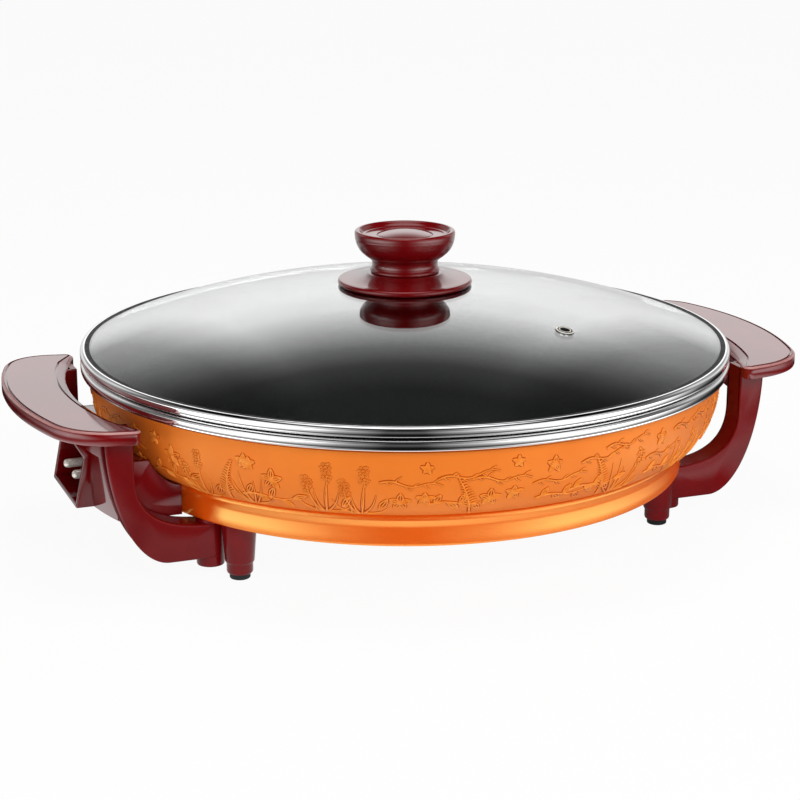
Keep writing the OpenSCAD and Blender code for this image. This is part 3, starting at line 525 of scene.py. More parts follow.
inlet = {"shroudY": 26.0, "wall": 2.2, "floor": 28.3, "boxTop": 57.0, "boxR": 172.2, "boxY": 51.8,
         "clearR": 143.2, "flareR": 186.004, "gripGap": 7.05}
low, top, boxR, clearR = inlet["floor"], inlet["boxTop"], inlet["boxR"], inlet["clearR"]
bm = bmesh.new()
cheek = roundCorners([(157, 28.4, 0), (179.3, 28.4, 1.0), (174.3, 53.1, 2.5),
                      (inlet["flareR"], gripHeight(inlet["flareR"]) - inlet["gripGap"], 0.5),
                      (169.5, gripHeight(169.5) - inlet["gripGap"], 0), (169.5, 56.9, 0), (157, 56.9, 0)])
mouthFloor = roundCorners([(158.6, -25.6, 0), (179.1, -25.6, 0.8), (179.1, 25.6, 0.8), (158.6, 25.6, 0)])
addPlate(bm, mouthFloor, 28.45, 30.6, 0.5, lambda u, v, w: (-u, v, w))
clear = [p for p in beside(bowlCurve, -1.0) if p[0] > clearR and p[1] < top]
sideWall = [(math.sqrt(r * r - inlet["boxY"] ** 2), z) for r, z in
            [(clearR, low), (boxR, low), (boxR, top), (clear[0][0], top)] + clear + [(clearR, clear[-1][1])]]
for s in (-1, 1):
    for outline, y, soft in ((cheek, inlet["shroudY"], 0.55), (sideWall, inlet["boxY"], 0.3)):
        addPlate(bm, outline, y - inlet["wall"], y, soft, lambda u, v, w, s=s: (-u, s * w, v))
    ys = [25.0 + (50.5 - 25.0) * j / 14 for j in range(15)]
    walls = [[[(-math.sqrt(r * r - y * y), s * y, z) for y in ys] for z in (28.4, 35, 45, 56.9)]
             for r in (boxR, boxR - inlet["wall"])]
    addShell(bm, *walls)
ys = [-50.5 + 101.0 * j / 30 for j in range(31)]
for z0, r0 in ((low, clearR), (top - inlet["wall"], clear[0][0] + 0.2)):  # floor and ceiling
    grids = [[[(-math.sqrt(r * r - y * y), y, z) for y in ys] for r in (r0, r0 + 8, 165, boxR - 0.3)]
             for z in (z0, z0 + inlet["wall"])]
    addShell(bm, *grids)
finishPiece("inletHousing", bm, "burgundyPhenolic", "base", ["inlet_housing"], 34)

pins = {"radius": 2.25, "from": 134.2, "straight": 40.65, "y": 9.5, "z": 40.35}
bm = bmesh.new()
pinProfile = [(0, 0), (pins["radius"], 0)] + arcPoints((0, pins["straight"]), pins["radius"], 0, 90, 10)
pinProfile[-1] = (0, pinProfile[-1][1])
for s in (-1, 1):
    root = Matrix.Translation((-pins["from"], s * pins["y"], pins["z"]))
    addLathe(bm, pinProfile, 40, matrix=root @ Matrix.Rotation(-math.pi / 2, 4, "Y"))
finishPiece("inletPins", bm, "nickelPlate", "base", ["terminal_pins"], 40)

# Lid: domed glass in a rolled band, eyelet and knob

lid = {"domeR": 458.7, "centreZ": -338.0, "glass": 3.2, "edge": 164.25, "screw": 2.2}
domeR, centreZ = lid["domeR"], lid["centreZ"]


def domeArc(radius, r0, r1, steps):
    return [(r, centreZ + math.sqrt(radius ** 2 - r * r))
            for r in [r0 + (r1 - r0) * i / steps for i in range(steps + 1)]]


vent = {"radius": 98.8, "angle": -59.7, "flange": 4.7, "hole": 2.25, "tube": 3.05, "sheet": 0.8}
lean = math.asin(vent["radius"] / domeR)
ventPlace = (Matrix.Translation((0, 0, centreZ)) @ Matrix.Rotation(math.radians(vent["angle"]), 4, "Z")
             @ Matrix.Rotation(lean, 4, "Y") @ Matrix.Translation((0, 0, domeR)))

glassProfile = domeArc(domeR, lid["screw"], lid["edge"], 72)
glassProfile += domeArc(domeR - lid["glass"], lid["screw"], lid["edge"], 72)[::-1]
glass = turnPiece("lidGlass", glassProfile, 256, "temperedGlass", "lid", ["lid_glass"])
bm = bmesh.new()
addLathe(bm, [(0, -9), (3.15, -9), (3.15, 6), (0, 6)], 40, matrix=ventPlace)
carve(glass, bm)

band = [(154.8, 81.3), (155.4, 81.3), (155.4, 86.2), (155.8, 86.6)] + arcPoints((163.4, 88.2), 1.6, -90, 0, 8)
band += arcPoints((162.9, 89.75), 2.1, 0, 78, 9) + [(162.7, 91.8)]
darkSeat = len(band) - 1  # from here the band is dark rubber beside the lip and under the glass: painted shade at the glass's seat
band += [(162.3, 91.7), (161.8, 91.66), (161.0, 91.74), (160.5, 91.82), (160.2, 91.78), (164.4, 91.0),
         (164.4, 87.25), (154.8, 87.2)]
turnPiece("lidBand", band, 256, ["buffedSteel", "nitrileRubber"], "lid", ["lid_rim"], 50,
          slots=[int(k >= darkSeat) for k in range(len(band))])

low = -lid["glass"] - 0.1
eyelet = [(vent["hole"], low - vent["sheet"]), (vent["flange"], low - vent["sheet"]), (vent["flange"], low),
          (vent["tube"], low), (vent["tube"], 0.02), (vent["flange"], 0.02), (4.6, 0.4), (4.3, 0.62),
          (3.75, 0.66), (3.6, 0.35), (3.25, 0.35), (3.1, 0.7), (2.8, 0.78), (2.5, 0.7), (vent["hole"], 0.3)]
darkParts = (5, 8, 9, 10, 13, 14)  # dark rubber faces: the flange's outer edge and the hole's mouth and wall are painted shade; the groove is dark too
turnPiece("ventEyelet", eyelet, 48, ["nickelPlate", "nitrileRubber"], "lid", ["vent_grommet"],
          45, slots=[int(k in darkParts) for k in range(len(eyelet))], matrix=ventPlace)

knob = {"flangeR": 34.25, "low": 125.9, "capR": 14.0, "capRise": 2.2, "capLow": 143.0, "dish": 144.9}
low, dish, capR, capRise = [knob[k] for k in ("low", "dish", "capR", "capRise")]
edgeLow = centreZ + math.sqrt((domeR + 0.1) ** 2 - knob["flangeR"] ** 2)
flange = [(2.2, low), (2.2, 121.85)]
flange += domeArc(domeR + 1.1, 2.4, 26.1, 8) + domeArc(domeR + 0.1, 26.2, 32.6, 6)
flange += arcPoints((knob["flangeR"] - 1.5, edgeLow + 1.5), 1.5, -80, 80, 10)
flange += bezierPoints((32.4, edgeLow + 3.05), (26.0, edgeLow + 3.5), (21.5, low - 1.4),
                       (18.6, low), 14)[1:]
turnPiece("knobFlange", flange, 160, "burgundyPhenolic", "lid", ["knob_base"], 40)

cup = [(2.1, 125.95), (16.6, 125.95)] + arcPoints((16.6, 127.1), 1.15, -80, 55, 8)
cup += [(16.95, 128.5), (16.75, 129.4), (16.75, 130.4)]
cup += bezierPoints((16.8, 131.3), (17.1, 134.2), (25.2, 134.6), (25.5, 145.6), 22)
cup += arcPoints((24.0, 145.9), 1.5, 0, 115, 10)
cup += bezierPoints((23.2, 147.2), (22.4, 146.4), (21.8, 145.0), (20.0, dish), 8)[1:]
cup += [(14.3, dish), (14.1, 144.7), (14.1, 142.9), (2.1, 142.9)]
turnPiece("knobCup", cup, 160, "burgundyPhenolic", "lid", ["knob_grip"], 40)

capDome = (capR ** 2 + capRise ** 2) / (2 * capRise)
half = math.degrees(math.asin(capR / capDome))
cap = [(0, knob["capLow"]), (capR, knob["capLow"]), (capR, dish - 0.1)]
cap += arcPoints((0, dish + capRise - capDome), capDome, 90 - half + 0.8, 90, 14)
cap[-1] = (0, cap[-1][1])
turnPiece("knobCap", cap, 96, "burgundyPhenolic", "lid", ["knob_cap"], 40, loop=False)

# Geometry Nodes trees

def newTree(name, inputs):
    tree = bpy.data.node_groups.new(name, "GeometryNodeTree")
    tree.interface.new_socket("Geometry", in_out="OUTPUT", socket_type="NodeSocketGeometry")
    tree.interface.new_socket("Geometry", in_out="INPUT", socket_type="NodeSocketGeometry")
    found = {}
    for label, kind in inputs.items():
        socket = tree.interface.new_socket(label, in_out="INPUT", socket_type="NodeSocket" + kind)
        found[label] = socket.identifier
    return tree, found, addNode(tree, "NodeGroupInput").outputs, addNode(tree, "NodeGroupOutput")


def growPiece(name, tree, found, values, body, nodes, seedMesh=None, sharp=0):
    holder = bpy.data.objects.new(name, seedMesh or bpy.data.meshes.new(name + "Seed"))
    scene.collection.objects.link(holder)
    grow = holder.modifiers.new("grow", "NODES")
    grow.node_group = tree
    for label, value in values.items():
        grow[found[label]] = value
    settle(holder, grow)
    holder.data.name = name
    if sharp:
        holder.data.set_sharp_from_angle(angle=math.radians(sharp))
    enlist(holder, body, nodes)


# Raised meadow plants round the bowl: lines drawn flat in mm, then swept and wrapped

relief = {"clumps": 46, "line": 1.15, "height": 0.95, "foot": 1.9, "seed": 11, "wrapR": 157.0, "floor": 36.5,
          "drawSeed": 5}
rng = random.Random(relief["drawSeed"])


# a line is a list of (x, height, width) and whether it closes on itself
def wavy(x0, v0, x1, v1, sway, waves, width, steps=10, taper=0.4):
    line, ahead = [], Vector((x1 - x0, v1 - v0)).normalized()
    for i in range(steps + 1):
        t = i / steps
        off = sway * math.sin(waves * math.pi * t)
        line.append((x0 + (x1 - x0) * t - off * ahead.y, v0 + (v1 - v0) * t + off * ahead.x,
                     width * (1 - (1 - taper) * t)))
    return line, False


def oval(x, v, w, h, width, steps):
    angles = [math.radians(360 * i / steps) for i in range(steps)]
    return [(x + w / 2 * math.cos(a), v + h / 2 * math.sin(a), width) for a in angles], True


def leaf(x, v, length, angle, wide):  # pointed outline with a midrib
    tip = (x + length * math.cos(math.radians(angle)), v + length * math.sin(math.radians(angle)))
    return [wavy(x, v, *tip, bow, 1, 0.75, 4, 0.8) for bow in (-wide, 0, wide)]


def grassTuft(x):
    blades = []
    for k in range(6):
        lean = -9 + 3.6 * k + rng.uniform(-1, 1)
        tall = rng.uniform(11, 23) - 0.5 * abs(lean)
        blades.append(wavy(x + 0.3 * lean, 0, x + 1.4 * lean, tall, -0.2 * lean, 1, 1.0, 12, 0.3))
    return blades


def fernFrond(x, lean):
    stem = wavy(x, 0, x + lean, 25, 0.2 * lean, 1, 1.0, 16)
    lines = [stem]
    for i in range(3, 16):
        reach = 5.2 * (1 - i / 19)
        px, pv = stem[0][i][:2]
        lines += [wavy(px, pv, px + s * reach, pv + 0.55 * reach, s * 0.4, 1, 0.75, 4) for s in (-1, 1)]
    return lines


def seedPatch(x, v, w, h):  # small seeds packed in an oval
    lines = []
    for row in range(int(h / 1.5)):
        for k in range(int(w / 1.7)):
            px = x - w / 2 + 1.7 * k + rng.uniform(-0.5, 0.5)
            pv = v - h / 2 + 1.5 * row + rng.uniform(-0.4, 0.4)
            if ((px - x) / w) ** 2 + ((pv - v) / h) ** 2 < rng.uniform(0.1, 0.28):
                lines.append(oval(px, pv, rng.uniform(0.8, 1.5), rng.uniform(0.7, 1.2), 0.5, 4))
    return lines


def seedHead(x, v, lean):
    return [wavy(x - lean, 0, x, v - 4, 0.3 * lean, 1, 0.9)] + seedPatch(x, v, 7, 12)


def rosette(x, v, size):  # leaves spread round a point
    lines = []
    for turn in range(15, 375, 72):
        lines += leaf(x, v, size * rng.uniform(0.75, 1.1), turn, 0.22 * size)
    return lines


def vine(x, v):  # trailing stem with small side shoots
    stem = wavy(x - 14, v, x + 14, v + rng.uniform(-2, 3), 1.2, 3, 0.8, 20, 0.6)
    lines = [stem]
    for i in range(2, 20, 3):
        px, pv, side = *stem[0][i][:2], 1 if i % 2 else -1
        tipX, tipV = px + rng.uniform(2, 4), pv + side * rng.uniform(1.5, 3)
        lines.append(wavy(px, pv, tipX, tipV, 0.5 * side, 1, 0.65, 5))
    return lines


def leafRun(x, v):
    stem = wavy(x - 13, v, x + 13, v + 1, 1.2, 2, 0.9, 18)
    lines = [stem]
    for i, angle in ((2, 60), (6, -40), (10, 65), (14, -45), (18, 20)):
        lines += leaf(*stem[0][i][:2], rng.uniform(5.5, 8), angle, 1.3)
    return lines


def motifMesh(name, lines):
    mesh = bpy.data.meshes.new(name)
    points, edges, widths = [], [], []
    for line, ring in lines:
        first = len(points)
        points += [(x * mm, (relief["floor"] - v) * mm, 0) for x, v, w in line]
        widths += [w for x, v, w in line]
        edges += [(first + i, first + i + 1) for i in range(len(line) - 1)]
        if ring:
            edges.append((len(points) - 1, first))
    mesh.from_pydata(points, edges, [])
    mesh.attributes.new("ridge", "FLOAT", "POINT").data.foreach_set("value", widths)
    return bpy.data.objects.new(name, mesh)


motifSets = [
    grassTuft(-4) + seedHead(7, 19, 3) + vine(-2, 28),
    leafRun(0, 8) + rosette(4, 19, 5.5) + rosette(-7, 26, 3.5),
    fernFrond(-4, 7) + grassTuft(9) + rosette(9, 25, 4),
    vine(0, 17) + leafRun(2, 8) + rosette(-4, 26, 4.5),
    seedHead(-6, 16, -2) + seedHead(3, 23, 2) + grassTuft(0) + leaf(9, 4, 8, 60, 1.4),
    fernFrond(4, -8) + leafRun(-3, 8) + vine(2, 22),
    rosette(-5, 10, 6) + rosette(6, 12, 4.5) + vine(0, 21) + rosette(7, 28, 3),
]
motifs = bpy.data.collections.new("meadowMotifs")
for k, lines in enumerate(motifSets):
    motifs.objects.link(motifMesh("meadowMotif_%d" % k, lines))

tree, found, given, sink = newTree("meadowRelief", {
    "Motifs": "Collection", "Clumps": "Int", "Seed": "Int", "Line width": "Float", "Line height": "Float",
    "Wrap radius": "Float", "Foot width": "Float", "Material": "Material", "Foot material": "Material"})
girth = addNode(tree, maths, {"operation": "MULTIPLY", 1: 2 * math.pi}, {0: given["Wrap radius"]})
pitch = addNode(tree, maths, {"operation": "DIVIDE"}, {0: girth, 1: given["Clumps"]})
step = addNode(tree, "ShaderNodeCombineXYZ", {}, {0: pitch})
row = addNode(tree, "GeometryNodeMeshLine", {"mode": "OFFSET"},
              {"Count": given["Clumps"], "Offset": step})
jitter = addNode(tree, "FunctionNodeRandomValue", {"data_type": "FLOAT_VECTOR", 0: (-0.005, -0.002, 0),
                                                   1: (0.005, 0.001, 0)}, {"Seed": given["Seed"]})
scatter = addNode(tree, "GeometryNodeSetPosition", {}, {"Geometry": row, "Offset": jitter})
library = addNode(tree, "GeometryNodeCollectionInfo", {"Separate Children": True, "Reset Children": True},
                  {0: given["Motifs"]})
order = addNode(tree, "FunctionNodeRandomValue", {"data_type": "INT", 4: 0, 5: len(motifSets) - 1},
                {"Seed": given["Seed"]})
clumps = addNode(tree, "GeometryNodeInstanceOnPoints", {"Pick Instance": True},
                 {"Points": scatter, "Instance": library, "Instance Index": order.outputs[2]})
flat = addNode(tree, "GeometryNodeRealizeInstances", {}, {0: clumps})
curves = addNode(tree, "GeometryNodeMeshToCurve", {}, {0: flat})
ridge = addNode(tree, "GeometryNodeInputNamedAttribute", {"data_type": "FLOAT", "Name": "ridge"})
halfLine = addNode(tree, maths, {"operation": "MULTIPLY", 1: 0.5}, {0: given["Line width"]})
section = addNode(tree, "GeometryNodeCurvePrimitiveCircle", {"Resolution": 5}, {"Radius": halfLine})
swept = addNode(tree, "GeometryNodeCurveToMesh", {"Fill Caps": True},
                {"Curve": curves, "Profile Curve": section, "Scale": ridge})
# a wide, flat strip under each raised line, in the darker lacquer, is painted shade at the lines' foot
wide = addNode(tree, maths, {"operation": "MULTIPLY"}, {0: halfLine, 1: given["Foot width"]})
strip = addNode(tree, "GeometryNodeCurvePrimitiveCircle", {"Resolution": 4}, {"Radius": wide})
shadeBand = addNode(tree, "GeometryNodeCurveToMesh", {"Fill Caps": True},
                 {"Curve": curves, "Profile Curve": strip, "Scale": ridge})
flatten = addNode(tree, "GeometryNodeTransform", {"Scale": (1, 1, 0.14)}, {0: shadeBand})
shadeBand = addNode(tree, "GeometryNodeStoreNamedAttribute",
                 {"data_type": "BOOLEAN", "domain": "FACE", "Name": "foot", "Value": True}, {0: flatten})
both = addNode(tree, "GeometryNodeJoinGeometry", {}, {0: swept})
tree.links.new(shadeBand.outputs[0], both.inputs[0])
spot = addNode(tree, "GeometryNodeInputPosition")
axes = addNode(tree, "ShaderNodeSeparateXYZ", {}, {0: spot})
corners = [(r * mm, 0, z * mm) for r, z in (bowl["top"], bowl["belly"], bowl["toe"], bowl["foot"])]
side = addNode(tree, "GeometryNodeCurvePrimitiveBezierSegment",
               {"Resolution": 96, "Start": corners[0], "Start Handle": corners[1], "End Handle": corners[2],
                "End": corners[3]})
follow = addNode(tree, "GeometryNodeSampleCurve", {"mode": "LENGTH"},
                 {"Curves": side, "Length": axes.outputs[1]})
outward = addNode(tree, vectorMaths, {"operation": "CROSS_PRODUCT", 1: (0, 1, 0)},
                  {0: follow.outputs["Tangent"]})
lower = addNode(tree, maths, {"operation": "DIVIDE"},
                {0: given["Line height"], 1: halfLine})
proud = addNode(tree, maths, {"operation": "MULTIPLY"}, {0: axes.outputs[2], 1: lower})
lift = addNode(tree, vectorMaths, {"operation": "SCALE"}, {0: outward, "Scale": proud})
raised = addNode(tree, vectorMaths, {"operation": "ADD"}, {0: follow.outputs["Position"], 1: lift})
angle = addNode(tree, maths, {"operation": "DIVIDE"}, {0: axes, 1: given["Wrap radius"]})
around = addNode(tree, "ShaderNodeVectorRotate", {"rotation_type": "Z_AXIS"},
                 {"Vector": raised, "Angle": angle})
wrapped = addNode(tree, "GeometryNodeSetPosition", {}, {"Geometry": both, "Position": around})
smooth = addNode(tree, "GeometryNodeSetShadeSmooth", {}, {0: wrapped})
# the raised lines take the lighter lacquer: a painted highlight
painted = addNode(tree, "GeometryNodeSetMaterial", {}, {"Geometry": smooth, "Material": given["Material"]})
isFoot = addNode(tree, "GeometryNodeInputNamedAttribute", {"data_type": "BOOLEAN", "Name": "foot"})
painted = addNode(tree, "GeometryNodeSetMaterial", {}, {
    "Geometry": painted, "Selection": isFoot, "Material": given["Foot material"]})
tree.links.new(painted.outputs[0], sink.inputs[0])
growPiece("shellRelief", tree, found, {
    "Motifs": motifs, "Clumps": relief["clumps"], "Seed": relief["seed"], "Line width": relief["line"] * mm,
    "Line height": relief["height"] * mm, "Wrap radius": relief["wrapR"] * mm, "Foot width": relief["foot"],
    "Material": materials["ridgeHighlightLacquer"], "Foot material": materials["paintedShadeLacquer"]},
    "base", [])
for motif in list(motifs.objects):
    bpy.data.objects.remove(motif)
bpy.data.collections.remove(motifs)

# Pan-head screws seen from below: one blank with a cross recess, set on the points of each group

screws = {"headR": 3.8, "headH": 3.0, "round": 1.3, "shankR": 2.0, "tip": 0.6, "slot": 0.55, "wing": 2.3,
          "deep": 1.6}
screwSets = {
    "panScrews": {"node": "base_screws", "x": 35.36, "y": 35.36, "z": 29.5, "length": 9.0, "seed": 3},
    "handleScrews": {"node": "handle_screws", "x": 122.09, "y": 59.0, "z": 12.8, "length": 22.1, "seed": 8},
}
tree, found, given, sink = newTree("screwGroup", {"Screw": "Object", "Seed": "Int", "Material": "Material"})
blank = addNode(tree, "GeometryNodeObjectInfo", {"As Instance": True}, {"Object": given["Screw"]})
turned = addNode(tree, "FunctionNodeRandomValue",
                 {"data_type": "FLOAT_VECTOR", 0: (0, 0, 0), 1: (0, 0, math.pi)},
                 {"Seed": given["Seed"]})
group = addNode(tree, "GeometryNodeInstanceOnPoints", {},
                {"Points": given["Geometry"], "Instance": blank.outputs["Geometry"], "Rotation": turned})
whole = addNode(tree, "GeometryNodeRealizeInstances", {}, {0: group})
smooth = addNode(tree, "GeometryNodeSetShadeSmooth", {}, {0: whole})
painted = addNode(tree, "GeometryNodeSetMaterial", {}, {"Geometry": smooth, "Material": given["Material"]})
tree.links.new(painted.outputs[0], sink.inputs[0])
for name, kit in screwSets.items():
    head, shank, tip = screws["headR"], screws["shankR"], screws["tip"]
    bm = bmesh.new()
    crown = arcPoints((head - screws["round"], screws["round"] - screws["headH"]), screws["round"], -90, 0, 6)
    addLathe(bm, [(0, -screws["headH"])] + crown + [(head, 0), (shank, 0), (shank, kit["length"] - tip),
             (shank - tip, kit["length"]), (0, kit["length"])], 48)
    blankPiece = solidFrom("screwBlank", bm)
    s, w = screws["slot"], screws["wing"]
    cross = [(s, s), (s, w), (-s, w), (-s, s), (-w, s), (-w, -s), (-s, -s),
             (-s, -w), (s, -w), (s, -s), (w, -s), (w, s)]
    bm = bmesh.new()
    addRings(bm, [[(f * x, f * y, z - screws["headH"]) for x, y in cross]
                  for f, z in ((1, -1), (1, 0.2), (0.6, screws["deep"]))])
    carve(blankPiece, bm)
    seeds = bpy.data.meshes.new(name + "Seed")
    seeds.from_pydata([(sx * kit["x"] * mm, sy * kit["y"] * mm, kit["z"] * mm)
                       for sx in (-1, 1) for sy in (-1, 1)], [], [])
    growPiece(name, tree, found, {"Screw": blankPiece, "Seed": kit["seed"], "Material": materials["zincSteel"]},
              "base", [kit["node"]], seeds, 35)
    bpy.data.objects.remove(blankPiece)

# Inner pieces and fasteners keep their solids and take finer finishes

carried = {"heat_spreader": "rolledAluminium", "heating_element": "stainedSheath",
           "terminal_beads": "firedSteatite", "base_plate": "zincSteel",
           "handle_nuts": "zincSteel", "pin_plate": "insulatorBoard", "housing_screws": "zincSteel",
           "foot_screws": "zincSteel", "foot_nuts": "zincSteel", "knob_screw": "zincSteel",
           "knob_washer": "zincSteel", "knob_gasket": "nitrileRubber"}
for node, finish in carried.items():
    frame["nodes"][node].data.materials.clear()
    frame["nodes"][node].data.materials.append(materials[finish])
print("carried over:", len(carried), "nodes")

# Stage: white sweep, studio world and lamps

view = {"azimuth": -20.86, "elevation": 15.85, "distance": 1.08842, "target": (-0.00231, 0.00088, 0.05772),
        "lens": 94.70, "sensor": 36.0}
stage = {"floor": 6.0, "glow": 0.94, "mirror": 1.42, "cards": 3.0, "strip": 1.2, "rear": 0.6, "zenith": 1.6,
         "ambient": 0.28}


def levelRamp(tree, source, levels):  # brightness at each position
    ramp = addNode(tree, "ShaderNodeValToRGB", {}, {0: source})
    stops = ramp.color_ramp.elements
    stops[0].position, stops[1].position = levels[0][0], levels[-1][0]
    for position, value in levels[1:-1]:
        stops.new(position)
    for stop, (position, value) in zip(stops, levels):
        stop.color = (value, value, value, 1)
    return ramp


def flagRamp(tree, vector, levels):  # brightness round the compass, with 0.5 towards the camera
    facing = (0, 0, math.radians(90 - view["azimuth"]))
    turned = addNode(tree, "ShaderNodeMapping", {"Rotation": facing}, {"Vector": vector})
    sweep = addNode(tree, "ShaderNodeTexGradient", {"gradient_type": "RADIAL"}, {"Vector": turned})
    return levelRamp(tree, sweep.outputs["Fac"], levels)


def rayKinds(tree):  # the kinds of ray, and those sent on by gloss or glass
    kinds = addNode(tree, "ShaderNodeLightPath").outputs
    return kinds, addNode(tree, maths, {"operation": "ADD", "use_clamp": True},
                          {0: kinds["Is Glossy Ray"], 1: kinds["Is Transmission Ray"]})


sweepMaterial = bpy.data.materials.new("whiteSweep")  # painted studio sweep
sweepMaterial.use_nodes = True
tree = sweepMaterial.node_tree
tree.nodes["Principled BSDF"].inputs["Base Color"].default_value = (0.9, 0.9, 0.9, 1)
tree.nodes["Principled BSDF"].inputs["Roughness"].default_value = 0.8
path, through = rayKinds(tree)
spot = addNode(tree, "ShaderNodeTexCoord").outputs


def floorPatch(compass, distance, level):  # glow by direction and by distance in metres
    way = flagRamp(tree, spot["Object"], compass)
    reach = addNode(tree, vectorMaths, {"operation": "LENGTH"}, {0: spot["Object"]})
    rings = levelRamp(tree, reach.outputs["Value"], distance)
    patch = addNode(tree, vectorMaths, {"operation": "MULTIPLY"}, {0: way, 1: rings})
    return addNode(tree, vectorMaths, {"operation": "SCALE", "Scale": level}, {0: patch})


# painted reflections: glow seen only by glossy rays, in two pale cards left and right of the camera, a pale
# strip in front and a pale rear
cards = floorPatch(((0.2, 0.03), (0.225, 0.12), (0.283, 0.6), (0.339, 1), (0.394, 0.8), (0.45, 0.16),
                    (0.485, 0.01), (0.515, 0.01), (0.561, 0.22), (0.617, 0.8), (0.672, 0.9), (0.728, 0.55),
                    (0.783, 0.1), (0.82, 0.03)),
                   ((0.195, 0), (0.222, 0.86), (0.28, 0.86), (0.34, 0.1), (0.39, 0.1), (0.44, 0.58),
                    (0.49, 0.58), (0.515, 1)), stage["cards"])
strip = floorPatch(((0.25, 0.1), (0.4, 0.7), (0.5, 1), (0.6, 0.7), (0.75, 0.1)), ((0.18, 1), (0.2, 0)),
                   stage["strip"])
rear = floorPatch(((0.12, 1), (0.17, 0.12), (0.83, 0.12), (0.88, 1)), ((0.43, 0), (0.48, 1)), stage["rear"])
flagged = addNode(tree, vectorMaths, {"operation": "ADD"}, {0: cards, 1: strip})
flagged = addNode(tree, vectorMaths, {"operation": "ADD"}, {0: flagged, 1: rear})
tone = addNode(tree, "ShaderNodeMix", {"data_type": "RGBA", 6: (1, 1, 1, 1)},
               {0: path["Is Glossy Ray"], 7: flagged})
glow = addNode(tree, "ShaderNodeEmission", {"Strength": 1.0}, {0: tone.outputs[2]})
share = addNode(tree, maths, {"operation": "MULTIPLY_ADD", 1: stage["glow"], "use_clamp": True},
                {0: path["Is Camera Ray"], 2: through})
blend = addNode(tree, "ShaderNodeMixShader", {}, {0: share, 1: tree.nodes["Principled BSDF"], 2: glow})
tree.links.new(blend.outputs[0], tree.nodes["Material Output"].inputs[0])
floorMesh = bpy.data.meshes.new("floorSweep")
reach = stage["floor"]
floorMesh.from_pydata([(-reach, -reach, 0), (reach, -reach, 0), (reach, reach, 0), (-reach, reach, 0)], [],
                      [(0, 1, 2, 3)])
floorMesh.materials.append(sweepMaterial)
floor = bpy.data.objects.new("floorSweep", floorMesh)
scene.collection.objects.link(floor)

world = bpy.data.worlds.new("studioWorld")
scene.world = world
world.use_nodes = True
tree = world.node_tree
path, through = rayKinds(tree)
spot = addNode(tree, "ShaderNodeTexCoord").outputs
flagged = flagRamp(tree, spot["Generated"], (
    (0.12, 1), (0.2, 0.12), (0.25, 0.12), (0.3, 0.6), (0.345, 1), (0.4, 0.8), (0.45, 0.2), (0.485, 0.03),
    (0.515, 0.03), (0.55, 0.2), (0.6, 0.8), (0.655, 1), (0.7, 0.6), (0.75, 0.12), (0.8, 0.12), (0.88, 1)))
height = addNode(tree, "ShaderNodeSeparateXYZ", {}, {0: spot["Generated"]})
overhead = levelRamp(tree, height.outputs[2], (
    (0.0, 0.53), (0.2, 0.82), (0.3, 0.98), (0.42, 1.0), (0.5, 0.74), (0.57, 0.47), (0.62, 0.25), (0.68, 0.085),
    (0.76, 0.02), (0.84, 0.004)))
# the bright panel behind is narrow, except low down
panel = flagRamp(tree, spot["Generated"], (
    (0.0, 1), (0.035, 1), (0.05, 0.42), (0.067, 0.22), (0.12, 0.3), (0.16, 1), (0.84, 1), (0.88, 0.3),
    (0.933, 0.22), (0.95, 0.42), (0.965, 1), (1, 1)))
lowSky = addNode(tree, "ShaderNodeMapRange", {1: 0.08, 2: 0.26}, {0: height.outputs[2]})
panel = addNode(tree, "ShaderNodeMix", {"data_type": "RGBA", 6: (1, 1, 1, 1)}, {0: lowSky, 7: panel})
zenith = addNode(tree, "ShaderNodeMapRange",
                 {"interpolation_type": "SMOOTHSTEP", 1: 0.86, 2: 0.98, 4: stage["zenith"]},
                 {0: height.outputs[2]})
mirror = addNode(tree, vectorMaths, {"operation": "MULTIPLY"}, {0: flagged, 1: overhead})
mirror = addNode(tree, vectorMaths, {"operation": "MULTIPLY"}, {0: mirror, 1: panel.outputs[2]})
mirror = addNode(tree, vectorMaths, {"operation": "SCALE", "Scale": stage["mirror"]}, {0: mirror})
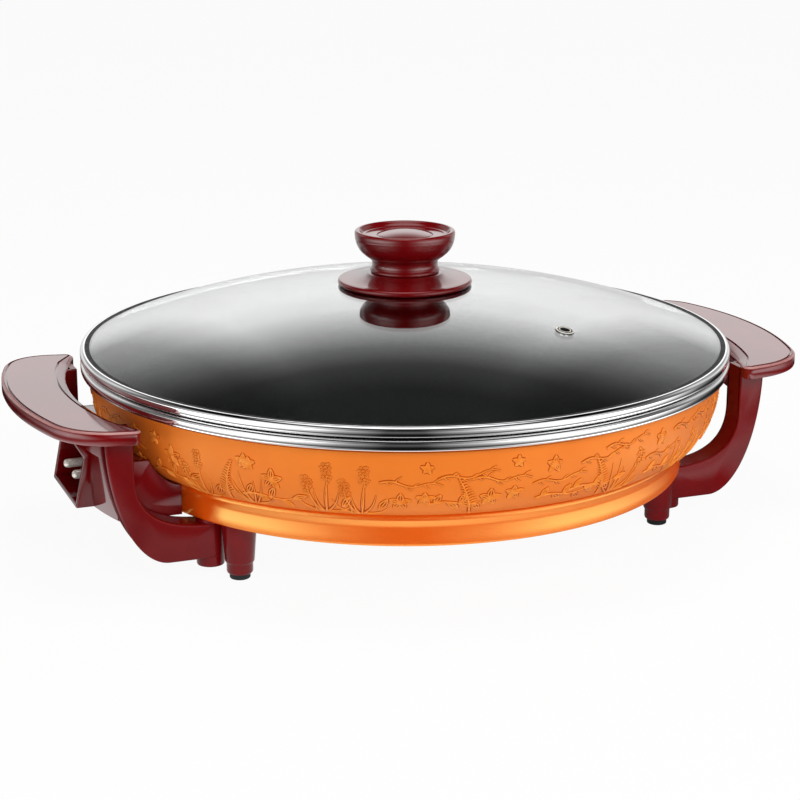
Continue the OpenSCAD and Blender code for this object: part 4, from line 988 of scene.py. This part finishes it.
mirror = addNode(tree, vectorMaths, {"operation": "ADD"}, {0: mirror, 1: zenith})
glossy = addNode(tree, "ShaderNodeMix", {"data_type": "RGBA", 6: (*[stage["ambient"]] * 3, 1)},
                 {0: through, 7: mirror})
backdrop = addNode(tree, "ShaderNodeMix", {"data_type": "RGBA", 7: (1, 1, 1, 1)},
                   {0: path["Is Camera Ray"], 6: glossy.outputs[2]})
tree.links.new(backdrop.outputs[2], tree.nodes["Background"].inputs["Color"])
tree.nodes["Background"].inputs["Strength"].default_value = 1.0

lamps = {  # place, aim, size in m, watts
    "key": ((0.05, -1.4, 0.95), (0, 0, 0.06), 0.5, 10),
    "front": ((-0.4, -1.5, 0.4), (0, 0, 0.06), 0.5, 5),
    "fillRight": ((1.1, -0.7, 0.9), (0, 0, 0.06), 0.7, 2.4),
    "overhead": ((0, 0.05, 1.3), (0, 0.05, 0), 0.6, 6),
    "lowLeft": ((-1.4, -0.3, 0.2), (-0.17, 0, 0.05), 0.4, 2.5),
}
for name, (place, aim, size, watts) in lamps.items():
    light = bpy.data.lights.new(name, "AREA")
    light.shape, light.size, light.energy = "SQUARE", size, watts
    lamp = bpy.data.objects.new(name, light)
    lamp.location = place
    lamp.rotation_mode = "QUATERNION"
    lamp.rotation_quaternion = (Vector(aim) - Vector(place)).to_track_quat("-Z", "Y")
    lamp.visible_camera = lamp.visible_glossy = lamp.visible_transmission = False
    scene.collection.objects.link(lamp)

camera = bpy.data.objects.new("photoCamera", bpy.data.cameras.new("photoCamera"))
camera.data.lens, camera.data.sensor_width = view["lens"], view["sensor"]
camera.data.clip_start, camera.data.clip_end = 0.05, 30.0
camera.data.dof.use_dof = False
a, e = math.radians(view["azimuth"]), math.radians(view["elevation"])
back = Vector((math.sin(a) * math.cos(e), -math.cos(a) * math.cos(e), math.sin(e)))
camera.location = Vector(view["target"]) + back * view["distance"]
camera.rotation_mode = "QUATERNION"
camera.rotation_quaternion = (-back).to_track_quat("-Z", "Y")
scene.collection.objects.link(camera)
scene.camera = camera
print("stage set")
